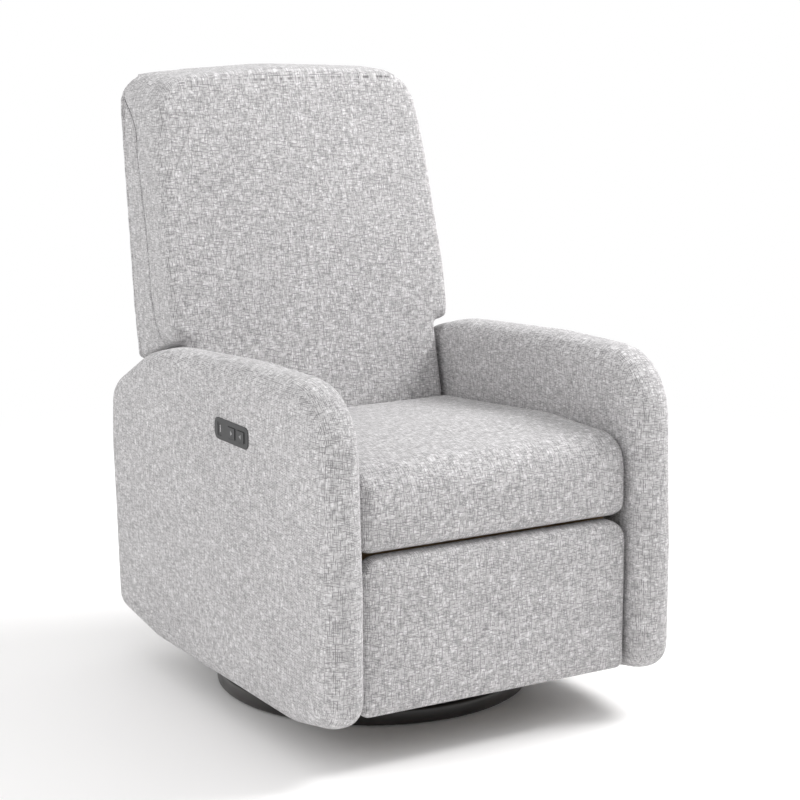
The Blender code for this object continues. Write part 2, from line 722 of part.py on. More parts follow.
def build_arms(finishes, carriage):
    """The two padded arms, each over a plywood side that fills a pocket open at the bottom."""
    for side, sign in sides():
        x_low, x_high = ordered(sign * INNER_X, sign * WIDTH / 2)
        arm = piece(
            f"arm_{side}",
            side_prism(outline(arm_corners(), 5), x_low, x_high, ARM_EDGE_ROUND),
            finishes["fabric"],
            carriage,
        )
        middle = sign * (INNER_X + ARM_THICK * ARM_PANEL_AT)
        panel_low, panel_high = middle - ARM_PANEL_THICK / 2, middle + ARM_PANEL_THICK / 2
        corners = arm_panel_corners()
        mouth = UNDERSIDE_Z - ARM_POCKET_BELOW
        pocket_corners = [
            (corners[0][0] - ARM_POCKET_ROOM, mouth, 0.0),
            (corners[1][0] - ARM_POCKET_ROOM, corners[1][1] + ARM_POCKET_ROOM, corners[1][2]),
            (corners[2][0] + ARM_POCKET_ROOM, corners[2][1] + ARM_POCKET_ROOM, corners[2][2]),
            (corners[3][0] + ARM_POCKET_ROOM, mouth, 0.0),
        ]
        pocket = side_prism(
            outline(pocket_corners), panel_low - ARM_POCKET_ROOM, panel_high + ARM_POCKET_ROOM
        )
        change(arm, pocket, "DIFFERENCE", carriage, finishes["fabric"])
        panel = side_prism(outline(corners), panel_low, panel_high)
        piece(f"arm_panel_{side}", panel, finishes["plywood"], carriage)
        if side == "right":
            cut_control_pocket(arm, finishes, carriage)


def cut_control_pocket(arm, finishes, carriage):
    """The hole through the arm's outer skin that takes the control housing."""
    half_length = PANEL_LENGTH / 2 - POCKET_MARGIN_Y
    half_height = PANEL_HEIGHT / 2 - POCKET_MARGIN_Z
    outer = -WIDTH / 2
    pocket = box(
        (outer - CUT_OVER, PANEL_Y - half_length, PANEL_Z - half_height),
        (outer + PANEL_POCKET, PANEL_Y + half_length, PANEL_Z + half_height),
    )
    change(arm, pocket, "DIFFERENCE", carriage, finishes["fabric"])


def build_control_panel(finishes, carriage):
    """The bezel, its housing, the charging socket and the two push buttons."""
    outer = -WIDTH / 2
    face = outer - PANEL_PROUD
    corners = [
        (PANEL_Y - PANEL_LENGTH / 2, PANEL_Z - PANEL_HEIGHT / 2, PANEL_CORNER),
        (PANEL_Y - PANEL_LENGTH / 2, PANEL_Z + PANEL_HEIGHT / 2, PANEL_CORNER),
        (PANEL_Y + PANEL_LENGTH / 2, PANEL_Z + PANEL_HEIGHT / 2, PANEL_CORNER),
        (PANEL_Y + PANEL_LENGTH / 2, PANEL_Z - PANEL_HEIGHT / 2, PANEL_CORNER),
    ]
    bezel = piece(
        "control_bezel",
        side_prism(outline(corners), face, outer - TOUCH, 0.0008, 1),
        finishes["charcoal_plastic"],
        carriage,
    )
    front, rear = face - CUT_OVER, outer + CUT_OVER
    openings = [
        control_box(spot, BUTTON_LENGTH, BUTTON_HEIGHT, front, rear, TOUCH) for spot in button_places().values()
    ]
    openings.append(control_box(socket_y(), SOCKET_LENGTH, SOCKET_HEIGHT, front, rear, TOUCH))
    change(bezel, merged(openings), "DIFFERENCE", carriage, finishes["charcoal_plastic"])
    half_length = PANEL_LENGTH / 2 - POCKET_MARGIN_Y - HOUSING_MARGIN
    half_height = PANEL_HEIGHT / 2 - POCKET_MARGIN_Z - HOUSING_MARGIN
    housing = piece(
        "control_housing",
        box(
            (outer + HOUSING_SINK, PANEL_Y - half_length, PANEL_Z - half_height),
            (outer + PANEL_POCKET - 0.001, PANEL_Y + half_length, PANEL_Z + half_height),
        ),
        finishes["charcoal_plastic"],
        carriage,
    )
    bottom = outer + SOCKET_DEPTH
    well = control_box(socket_y(), SOCKET_LENGTH, SOCKET_HEIGHT, outer - CUT_OVER, bottom + TOUCH, TOUCH)
    change(housing, well, "DIFFERENCE", carriage, finishes["charcoal_plastic"])
    socket = piece(
        "usb_socket",
        control_box(socket_y(), SOCKET_LENGTH, SOCKET_HEIGHT, face + SOCKET_SINK, bottom),
        finishes["black_plastic"],
        carriage,
    )
    slot = control_box(socket_y(), SLOT_LENGTH, SLOT_HEIGHT, face - CUT_OVER, outer + SLOT_DEPTH)
    change(socket, slot, "DIFFERENCE", carriage, finishes["black_plastic"])
    for name, y in button_places().items():
        holder = body(f"{name}_body", carriage, (outer, y, PANEL_Z))
        inward = outer + HOUSING_SINK - BUTTON_TRAVEL - BUTTON_ROOM
        button = control_box(y, BUTTON_LENGTH, BUTTON_HEIGHT, face - BUTTON_PROUD, inward, -PIN_ROOM)
        piece(name, button, finishes["charcoal_plastic"], holder)


def socket_y():
    return PANEL_Y + PANEL_LENGTH * SOCKET_AT


def button_places():
    """Where the two buttons sit along the panel."""
    return {
        "button_return": PANEL_Y + PANEL_LENGTH * RETURN_AT,
        "button_recline": PANEL_Y + PANEL_LENGTH * RECLINE_AT,
    }


def control_box(y, length, height, x_low, x_high, room=0.0):
    """A small box on the control panel, grown or shrunk all round by room."""
    half_length = length / 2 + room
    half_height = height / 2 + room
    return box(
        (x_low, y - half_length, PANEL_Z - half_height),
        (x_high, y + half_length, PANEL_Z + half_height),
    )


def build_drive(finishes, carriage):
    """The motor and its rail, fixed under the seat box."""
    tube_under = CROSS_TUBE_Z - CROSS_TUBE_RADIUS - TOUCH
    motor_front = CROSS_TUBE_REAR_Y - MOTOR_LENGTH / 2
    motor = box(
        (-MOTOR_HALF_WIDTH, motor_front, RAIL_Z - MOTOR_HALF_WIDTH),
        (MOTOR_HALF_WIDTH, motor_front + MOTOR_LENGTH, tube_under),
        0.006,
    )
    piece("drive_motor", motor, finishes["charcoal_plastic"], carriage)
    half = RAIL_SIDE / 2
    rail = box((-half, RAIL_FRONT_Y, RAIL_Z - half), (half, motor_front - TOUCH, RAIL_Z + half))
    piece("drive_rail", rail, finishes["zinc_steel"], carriage)
    half = INLET_SIDE / 2
    inlet_y = SEAT_BOX_REAR_Y - SEAT_RAIL_THICK / 2
    inlet_top = SEAT_BASE_Z - TOUCH
    inlet = piece(
        "power_inlet",
        box(
            (INLET_X - half, inlet_y - half, inlet_top - INLET_SIDE),
            (INLET_X + half, inlet_y + half, inlet_top),
        ),
        finishes["black_plastic"],
        carriage,
    )
    mouth_z = inlet_top - INLET_SIDE / 2
    mouth = cylinder(
        (INLET_X, inlet_y + half - INLET_DEPTH, mouth_z),
        (INLET_X, inlet_y + half + 0.01, mouth_z),
        INLET_RADIUS,
    )
    change(inlet, mouth, "DIFFERENCE", carriage, finishes["black_plastic"])


def build_carriage(finishes, front_links):
    """Everything that glides: the side plates, seat, arms, panel and drive."""
    carriage = body("carriage", front_links, (0.0, GLIDE_FRONT_Y, GLIDE_LOW_Z))
    build_side_plates(finishes, carriage)
    build_seat_box(finishes, carriage)
    build_seat_cushion(finishes, carriage)
    build_arms(finishes, carriage)
    build_control_panel(finishes, carriage)
    build_drive(finishes, carriage)
    return carriage


def build_drive_nut(finishes, carriage):
    """The block that the motor runs along its rail, with the slotted fork that drives the lever."""
    holder = body("drive_nut_slide", carriage, (0.0, NUT_Y, RAIL_Z))
    half = NUT_SIDE / 2
    nut = piece(
        "drive_nut",
        box((-half, NUT_Y - half, RAIL_Z - half), (half, NUT_Y + half, RAIL_Z + half)),
        finishes["charcoal_plastic"],
        holder,
    )
    pin = FOOT_AXIS + forward_up(LEVER_LENGTH, LEVER_ANGLE)
    lowest = FOOT_AXIS.z - LEVER_LENGTH
    arm_x = (-half, -half + LEVER_THICK)
    slot_half = PIN_RADIUS + SLOT_ROOM
    wall = 0.008
    arm = box(
        (arm_x[0], pin.y - slot_half - wall, lowest - slot_half - wall),
        (arm_x[1], pin.y + slot_half + wall, pin.z + slot_half + wall),
    )
    change(nut, arm, "UNION", holder, finishes["charcoal_plastic"])
    bridge = box((arm_x[0], pin.y, RAIL_Z - half), (arm_x[1], NUT_Y, RAIL_Z + half / 2))
    change(nut, bridge, "UNION", holder, finishes["charcoal_plastic"])
    slot = box(
        (arm_x[0] - 0.01, pin.y - slot_half, lowest - slot_half),
        (arm_x[1] + 0.002, pin.y + slot_half, pin.z + slot_half),
    )
    change(nut, slot, "DIFFERENCE", holder, finishes["charcoal_plastic"])
    bore_half = RAIL_SIDE / 2 + PIN_ROOM
    bore = box(
        (-bore_half, NUT_Y - 2 * half, RAIL_Z - bore_half),
        (bore_half, NUT_Y + 2 * half, RAIL_Z + bore_half),
    )
    change(nut, bore, "DIFFERENCE", holder, finishes["charcoal_plastic"])


def build_lower_links(finishes, carriage):
    """The torque tube under the seat's front, the bar at each of its ends and the drive lever."""
    holder = body("lower_links", carriage, FOOT_AXIS)
    inner_face = LOWER_LINK_X - PLATE_THICK / 2
    reach = inner_face - TOUCH
    piece("torque_tube", across(FOOT_AXIS, -reach, reach, TORQUE_TUBE_RADIUS), finishes["zinc_steel"], holder)
    for side, sign in sides():
        x_low, x_high = plate_span(LOWER_LINK_X, sign)
        link = piece(
            f"foot_link_lower_{side}",
            side_prism(bar_outline(FOOT_AXIS, KNEE_AXIS, LINK_WIDTH), x_low, x_high),
            finishes["black_steel"],
            holder,
        )
        hole = across(KNEE_AXIS, x_low - CUT_OVER, x_high + CUT_OVER, PIN_RADIUS + PIN_ROOM)
        change(link, hole, "DIFFERENCE", holder, finishes["black_steel"])
    pin = FOOT_AXIS + forward_up(LEVER_LENGTH, LEVER_ANGLE)
    lever_low = -NUT_SIDE / 2 + LEVER_THICK + SLIDE_GAP
    lever = piece(
        "drive_lever",
        side_prism(bar_outline(FOOT_AXIS, pin, 2 * TORQUE_TUBE_RADIUS + 0.010), lever_low, lever_low + LEVER_THICK),
        finishes["zinc_steel"],
        holder,
    )
    tube_hole = across(FOOT_AXIS, lever_low - 0.01, lever_low + 0.02, TORQUE_TUBE_RADIUS + TOUCH)
    change(lever, tube_hole, "DIFFERENCE", holder, finishes["zinc_steel"])
    lever_pin = across(pin, lever_low - LEVER_THICK - SLIDE_GAP, lever_low + LEVER_THICK / 2, PIN_RADIUS)
    change(lever, lever_pin, "UNION", holder, finishes["zinc_steel"])
    return holder


def build_upper_links(finishes, lower_links):
    """The second bar on each side, with a pin through the first and one through the bracket."""
    holder = body("upper_links", lower_links, KNEE_AXIS)
    for side, sign in sides():
        x_low, x_high = plate_span(UPPER_LINK_X, sign)
        link = piece(
            f"foot_link_upper_{side}",
            side_prism(bar_outline(KNEE_AXIS, ANKLE_AXIS, LINK_WIDTH), x_low, x_high),
            finishes["black_steel"],
            holder,
        )
        middle = sign * UPPER_LINK_X
        inward = sign * (LOWER_LINK_X - PLATE_THICK)
        outward = sign * (FOOT_BRACKET_X + PLATE_THICK)
        knee_pin = across(KNEE_AXIS, *ordered(middle, inward), PIN_RADIUS)
        ankle_pin = across(ANKLE_AXIS, *ordered(middle, outward), PIN_RADIUS)
        change(link, merged([knee_pin, ankle_pin]), "UNION", holder, finishes["black_steel"])
    return holder


def foot_outline(room):
    """The footrest's front view: two round corners at the top, two tighter ones at the bottom."""
    half = FOOT_HALF - room
    low, high = FOOT_BOTTOM_Z + room, FOOT_TOP_Z - room
    return outline(
        [
            (-half, low, FOOT_LOW_CORNER),
            (half, low, FOOT_LOW_CORNER),
            (half, high, FOOT_CORNER),
            (-half, high, FOOT_CORNER),
        ]
    )


def build_footrest(finishes, upper_links):
    """The padded footrest, its board and the bracket on each side."""
    holder = body("footrest", upper_links, ANKLE_AXIS)
    pad_back = FOOT_FRONT_Y + FOOT_PAD_THICK
    pad = lean_prism(foot_outline(0.0), lambda z: FOOT_FRONT_Y, lambda z: pad_back, FOOT_EDGE_ROUND)
    piece("footrest_pad", pad, finishes["fabric"], holder)
    board_front = pad_back + TOUCH
    board_back = board_front + FOOT_BOARD_THICK
    board = lean_prism(foot_outline(FOOT_BOARD_INSET), lambda z: board_front, lambda z: board_back)
    piece("footrest_board", board, finishes["plywood"], holder)
    for side, sign in sides():
        x_low, x_high = plate_span(FOOT_BRACKET_X, sign)
        half = LINK_WIDTH / 2
        near = board_back + TOUCH
        web_near = near + PLATE_THICK / 2
        flange_low, flange_high = ANKLE_AXIS.z - 0.120, ANKLE_AXIS.z + half + 0.004
        corners = [
            (web_near, flange_low + 0.002, 0.0),
            (near + 2 * PLATE_THICK, flange_low + 0.002, 0.0),
            (near + 2 * PLATE_THICK, ANKLE_AXIS.z - 0.050, 0.010),
            (ANKLE_AXIS.y + half, ANKLE_AXIS.z - half, half),
            (ANKLE_AXIS.y + half, ANKLE_AXIS.z + half, half),
            (web_near, ANKLE_AXIS.z + half, 0.0),
        ]
        bracket = piece(
            f"footrest_bracket_{side}",
            side_prism(outline(corners), x_low, x_high),
            finishes["black_steel"],
            holder,
        )
        foot_low, foot_high = ordered(sign * FOOT_BRACKET_X, sign * (FOOT_BRACKET_X + FOOT_FLANGE))
        flange = box((foot_low, near, flange_low), (foot_high, near + PLATE_THICK, flange_high))
        change(bracket, flange, "UNION", holder, finishes["black_steel"])
        hole = across(ANKLE_AXIS, x_low - CUT_OVER, x_high + CUT_OVER, PIN_RADIUS + PIN_ROOM)
        change(bracket, hole, "DIFFERENCE", holder, finishes["black_steel"])


def wing_outline(low, wing_half, wing_z, top, shoulder, taper, room=0.0):
    """The T-shaped front view of the back: a stem between the arms and wider wings above them."""
    stem_half = BACK_HALF - room
    half = wing_half - room
    right = [
        (stem_half, low, 0.006),
        (stem_half, wing_z, 0.004),
        (half - 0.004, wing_z, 0.020),
        (half, wing_z + 0.100, 0.200),
        (half - taper * 0.4, top - 0.160, 0.300),
        (half - taper, top - 0.014 - room, shoulder),
    ]
    left = [(-x, z, radius) for x, z, radius in reversed(right)]
    return outline([*right, (0.0, top - room, 0.900), *left], 6)


def build_back(finishes, carriage):
    """The back: brackets, wooden frame, the padded front and the covered board behind."""
    holder = body("back", carriage, RECLINE_AXIS)

    def panel_front(z):
        return back_rear_y(z) - BACK_PANEL_THICK

    def cushion_rear(z):
        return panel_front(z) - TOUCH

    rear_wing_z = BACK_WING_Z - BACK_WING_DROP
    front = wing_outline(BACK_CUSHION_Z, BACK_WING_HALF, BACK_WING_Z, HEIGHT, BACK_SHOULDER, 0.032)
    rear = wing_outline(BACK_CUSHION_Z, BACK_REAR_HALF, rear_wing_z, HEIGHT, BACK_REAR_SHOULDER, 0.004)
    cushion = piece(
        "back_cushion",
        lean_loft(front, rear, back_front_y, cushion_rear, BACK_EDGE_ROUND),
        finishes["fabric"],
        holder,
    )
    board = wing_outline(
        BACK_PANEL_Z, BACK_REAR_HALF, rear_wing_z, HEIGHT - 0.004, BACK_REAR_SHOULDER, 0.004, 0.002
    )
    panel = piece(
        "back_panel",
        lean_prism(board, panel_front, back_rear_y, 0.0, 0.004, 2),
        finishes["fabric"],
        holder,
    )
    add_panel_returns(panel, panel_front, finishes, holder)
    post_inner = BACK_BRACKET_X + PLATE_THICK / 2 + TOUCH
    post_outer = post_inner + BACK_POST_WIDTH
    frame_top = HEIGHT - 0.110
    rail_reach = post_inner - TOUCH

    def frame_rear(z):
        return cushion_rear(z) - TOUCH

    def frame_front(z):
        return frame_rear(z) - BACK_POST_THICK

    def recess_front(z):
        return frame_front(z) - 2 * TOUCH

    recess = lean_prism(
        [
            (-post_outer - TOUCH, BACK_CUSHION_Z - 0.020),
            (post_outer + TOUCH, BACK_CUSHION_Z - 0.020),
            (post_outer + TOUCH, frame_top + TOUCH),
            (-post_outer - TOUCH, frame_top + TOUCH),
        ],
        recess_front,
        lambda z: back_rear_y(z) + 0.010,
    )
    change(cushion, recess, "DIFFERENCE", holder, finishes["fabric"])
    for side, sign in sides():
        x_low, x_high = ordered(sign * post_inner, sign * post_outer)
        post = lean_prism(rectangle(x_low, x_high, BACK_POST_Z, frame_top), frame_front, frame_rear)
        piece(f"back_post_{side}", post, finishes["plywood"], holder)
        build_back_bracket(side, sign, frame_front, frame_rear, finishes, holder)
    lower_z = BACK_CUSHION_Z + 0.020
    for name, low in (
        ("back_rail_lower", lower_z),
        ("back_rail_top", frame_top - BACK_RAIL_HEIGHT),
    ):
        rail = lean_prism(
            rectangle(-rail_reach, rail_reach, low, low + BACK_RAIL_HEIGHT), frame_front, frame_rear
        )
        piece(name, rail, finishes["plywood"], holder)


def add_panel_returns(panel, panel_front, finishes, holder):
    """The covered edges of the rear board, which turn forward below the cushion."""
    low = BACK_PANEL_Z + 0.004
    high = BACK_CUSHION_Z - 0.002
    corners = [
        (panel_front(low) + 0.004, low, 0.0),
        (panel_front(low) - BACK_PANEL_RETURN, low, 0.020),
        (panel_front(high) - BACK_PANEL_RETURN, high, 0.004),
        (panel_front(high) + 0.004, high, 0.0),
    ]
    outer = BACK_HALF - 0.003
    for _, sign in sides():
        x_low, x_high = ordered(sign * (outer - FOOT_BOARD_THICK), sign * outer)
        change(panel, side_prism(outline(corners), x_low, x_high), "UNION", holder, finishes["fabric"])


def rectangle(x_low, x_high, z_low, z_high):
    return [(x_low, z_low), (x_high, z_low), (x_high, z_high), (x_low, z_high)]


def build_back_bracket(side, sign, frame_front, frame_rear, finishes, holder):
    """The steel arm from the recline pin back to the post, with the pin through the side plate."""
    x_low, x_high = plate_span(BACK_BRACKET_X, sign)
    half = BACK_BRACKET_HEIGHT / 2
    low = RECLINE_Z - half
    high = min(RECLINE_Z + half, BACK_CUSHION_Z - 0.002)
    corners = [
        (RECLINE_Y - BOSS_RADIUS, RECLINE_Z - BOSS_RADIUS, BOSS_RADIUS),
        (RECLINE_Y + 0.030, low, 0.010),
        (frame_rear(low) - 0.002, low, 0.0),
        (frame_rear(high) - 0.002, high, 0.0),
        (RECLINE_Y + 0.030, high, 0.010),
        (RECLINE_Y - BOSS_RADIUS, RECLINE_Z + BOSS_RADIUS, BOSS_RADIUS),
    ]
    bracket = piece(
        f"back_bracket_{side}",
        side_prism(outline(corners), x_low, x_high),
        finishes["black_steel"],
        holder,
    )
    inward = sign * (SIDE_PLATE_X - PLATE_THICK)
    pin = across(RECLINE_AXIS, *ordered(inward, sign * BACK_BRACKET_X), PIN_RADIUS)
    change(bracket, pin, "UNION", holder, finishes["black_steel"])


def build():
    clear_scene()
    finishes = {
        "fabric": material("fabric", (0.60, 0.59, 0.59), 0.95),
        "black_steel": material("black_steel", (0.020, 0.017, 0.016), 0.35, 0.6),
        "zinc_steel": material("zinc_steel", (0.55, 0.55, 0.56), 0.35, 1.0),
        "plywood": material("plywood", (0.55, 0.38, 0.22), 0.7),
        "webbing": material("webbing", (0.05, 0.05, 0.05), 0.9),
        "charcoal_plastic": material("charcoal_plastic", (0.035, 0.036, 0.038), 0.5),
        "black_plastic": material("black_plastic", (0.012, 0.012, 0.012), 0.5),
        "rubber": material("rubber", (0.02, 0.02, 0.02), 0.9),
    }
    base = build_base(finishes)
    swivel = build_swivel(finishes, base)
    front_links = build_glide_links(finishes, swivel)
    carriage = build_carriage(finishes, front_links)
    build_drive_nut(finishes, carriage)
    lower_links = build_lower_links(finishes, carriage)
    upper_links = build_upper_links(finishes, lower_links)
    build_footrest(finishes, upper_links)
    build_back(finishes, carriage)


build()
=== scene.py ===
"""The looks of a glider nursery chair: upholstery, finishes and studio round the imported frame.

Every soft part of the frame is covered by a padded piece that starts from the frame's own solid,
is swollen by a short cloth simulation and is then sewn. The steel, wooden and plastic parts keep
their shape and get their finish. Lengths are in metres and the chair faces -Y.
"""

import json
import logging
import math
from collections.abc import Callable, Sequence
from dataclasses import dataclass, field
from enum import Enum

import bmesh
import bpy
import numpy as np
from mathutils import Matrix, Vector
from mathutils.bvhtree import BVHTree


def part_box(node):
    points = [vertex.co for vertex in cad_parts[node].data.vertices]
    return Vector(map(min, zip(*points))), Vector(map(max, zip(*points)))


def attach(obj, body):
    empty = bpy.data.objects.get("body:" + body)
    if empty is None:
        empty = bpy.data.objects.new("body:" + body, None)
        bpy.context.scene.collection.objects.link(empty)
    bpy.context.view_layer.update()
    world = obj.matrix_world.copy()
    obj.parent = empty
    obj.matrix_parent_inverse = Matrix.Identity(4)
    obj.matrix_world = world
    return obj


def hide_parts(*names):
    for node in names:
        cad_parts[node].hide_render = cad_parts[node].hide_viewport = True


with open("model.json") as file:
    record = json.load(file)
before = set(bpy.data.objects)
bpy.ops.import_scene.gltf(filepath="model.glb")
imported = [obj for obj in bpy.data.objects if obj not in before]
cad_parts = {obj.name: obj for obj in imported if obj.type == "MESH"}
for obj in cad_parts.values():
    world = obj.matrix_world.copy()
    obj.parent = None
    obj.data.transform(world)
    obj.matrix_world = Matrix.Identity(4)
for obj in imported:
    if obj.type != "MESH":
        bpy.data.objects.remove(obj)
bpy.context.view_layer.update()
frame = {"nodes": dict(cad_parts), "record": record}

LOG = logging.getLogger("nursery_glider")
WEAVE_MAP = "weave"
# vertex attribute that holds the painted shade along the seam grooves, 1 on a seam's line
SEAM_SHADE = "seam"
FAR = 9.0
SLICE_X = 0.1
SIDE_FACING = 0.72
SIDE_SHIFT = 0.317
Rgb = tuple[float, float, float]


class Side(Enum):
    """The two sides of the chair, as the sitter names them."""

    LEFT = 1
    RIGHT = -1

    @property
    def word(self) -> str:
        """The side's name as it stands in the frame's node names."""
        return self.name.lower()


# ---- node trees


class Recipe:
    """A material and its node tree, with short calls for the nodes that the finishes share."""

    def __init__(self, name: str) -> None:
        """Starts a material that holds one Principled shader.

        Args:
            name: the material's name.
        """
        self.material = bpy.data.materials.new(name)
        self.material.use_nodes = True
        self.tree = self.material.node_tree
        self.shader = self.tree.nodes["Principled BSDF"]

    def node(self, kind: str, **settings: object) -> bpy.types.Node:
        """Adds a node and sets its properties.

        Args:
            kind: the node's type name without the ShaderNode prefix.
            settings: properties of the node by name.

        Returns:
            The new node.
        """
        made = self.tree.nodes.new("ShaderNode" + kind)
        for name, value in settings.items():
            setattr(made, name, value)
        return made

    def feed(self, socket: bpy.types.NodeSocket, value: object) -> None:
        """Links an output to a socket, or sets the socket to a number or colour.

        Args:
            socket: the input to fill.
            value: an output socket, a number or a tuple.
        """
        if isinstance(value, bpy.types.NodeSocket):
            self.tree.links.new(value, socket)
        else:
            socket.default_value = value

    def give(self, socket: str, value: object) -> None:
        """Fills one of the shader's inputs, by its name."""
        self.feed(self.shader.inputs[socket], value)

    def math(self, operation: str, first: object, second: object = 0.0) -> bpy.types.NodeSocket:
        """Adds a Math node.

        Args:
            operation: the Math node's operation.
            first: the first operand, a socket or a number.
            second: the second operand, a socket or a number.

        Returns:
            The result's socket.
        """
        made = self.node("Math", operation=operation)
        self.feed(made.inputs[0], first)
        self.feed(made.inputs[1], second)
        return made.outputs[0]

    def point(self, x: object, y: object, z: object = 0.0) -> bpy.types.NodeSocket:
        """Joins three numbers into a vector.

        Args:
            x: the first part, a socket or a number.
            y: the second part.
            z: the third part.

        Returns:
            The vector's socket.
        """
        made = self.node("CombineXYZ")
        for socket, value in zip(made.inputs, (x, y, z)):
            self.feed(socket, value)
        return made.outputs[0]

    def parts(self, vector: bpy.types.NodeSocket) -> Sequence[bpy.types.NodeSocket]:
        """Splits a vector.

        Args:
            vector: the vector's socket.

        Returns:
            The sockets of its three parts.
        """
        made = self.node("SeparateXYZ")
        self.feed(made.inputs[0], vector)
        return made.outputs

    def place(self, stretch: Rgb = (1.0, 1.0, 1.0)) -> bpy.types.NodeSocket:
        """Reads the piece's own coordinates, stretched along its axes.

        Args:
            stretch: how many times finer the pattern is along x, y and z.

        Returns:
            The coordinate's socket.
        """
        mapping = self.node("Mapping")
        self.feed(mapping.inputs["Vector"], self.node("TexCoord").outputs["Object"])
        mapping.inputs["Scale"].default_value = stretch
        return mapping.outputs[0]

    def noise(
        self, vector: bpy.types.NodeSocket, scale: float, detail: float = 2.0
    ) -> bpy.types.NodeSocket:
        """Adds a noise texture.

        Args:
            vector: the coordinate that it reads.
            scale: cells per metre.
            detail: how many finer layers it adds.

        Returns:
            The socket of its value, about 0.5 on average.
        """
        made = self.node("TexNoise")
        self.feed(made.inputs["Vector"], vector)
        made.inputs["Scale"].default_value = scale
        made.inputs["Detail"].default_value = detail
        return made.outputs["Fac"]

    def ramp(
        self, value: bpy.types.NodeSocket, stops: Sequence[tuple[float, Rgb]]
    ) -> bpy.types.NodeSocket:
        """Turns a value into a colour.

        Args:
            value: the value's socket.
            stops: pairs of a value and its colour, in rising order.

        Returns:
            The colour's socket.
        """
        made = self.node("ValToRGB")
        band = made.color_ramp.elements
        while len(band) < len(stops):
            band.new(0.5)
        for element, (at, colour) in zip(band, stops):
            element.position = at
            element.color = (*colour, 1.0)
        self.feed(made.inputs[0], value)
        return made.outputs[0]

    def rise(self, value: bpy.types.NodeSocket, low: float, high: float) -> bpy.types.NodeSocket:
        """Rises smoothly from 0 to 1 between two values.

        Args:
            value: the value's socket.
            low: where it starts to rise.
            high: where it reaches 1.

        Returns:
            The share's socket.
        """
        made = self.node("MapRange", interpolation_type="SMOOTHSTEP")
        self.feed(made.inputs["Value"], value)
        made.inputs["From Min"].default_value = low
        made.inputs["From Max"].default_value = high
        return made.outputs["Result"]

    def mix(self, share: object, first: object, second: object) -> bpy.types.NodeSocket:
        """Mixes two colours.

        Args:
            share: how much of the second colour, from 0 to 1.
            first: a colour or its socket.
            second: a colour or its socket.

        Returns:
            The colour's socket.
        """
        made = self.node("Mix", data_type="RGBA", clamp_factor=True)
        self.feed(made.inputs["Factor"], share)
        self.feed(made.inputs["A"], first if not isinstance(first, tuple) else (*first, 1.0))
        self.feed(made.inputs["B"], second if not isinstance(second, tuple) else (*second, 1.0))
        return made.outputs["Result"]

    def relief(self, height: bpy.types.NodeSocket, depth: float, strength: float = 1.0) -> None:
        """Gives the shader a fine relief.

        Args:
            height: the relief's height, from 0 to 1.
            depth: what a height of 1 stands for, in metres.
            strength: how strongly it shows.
        """
        bump = self.node("Bump")
        bump.inputs["Strength"].default_value = strength
        bump.inputs["Distance"].default_value = depth
        self.feed(bump.inputs["Height"], height)
        self.feed(self.shader.inputs["Normal"], bump.outputs[0])


# ---- finishes


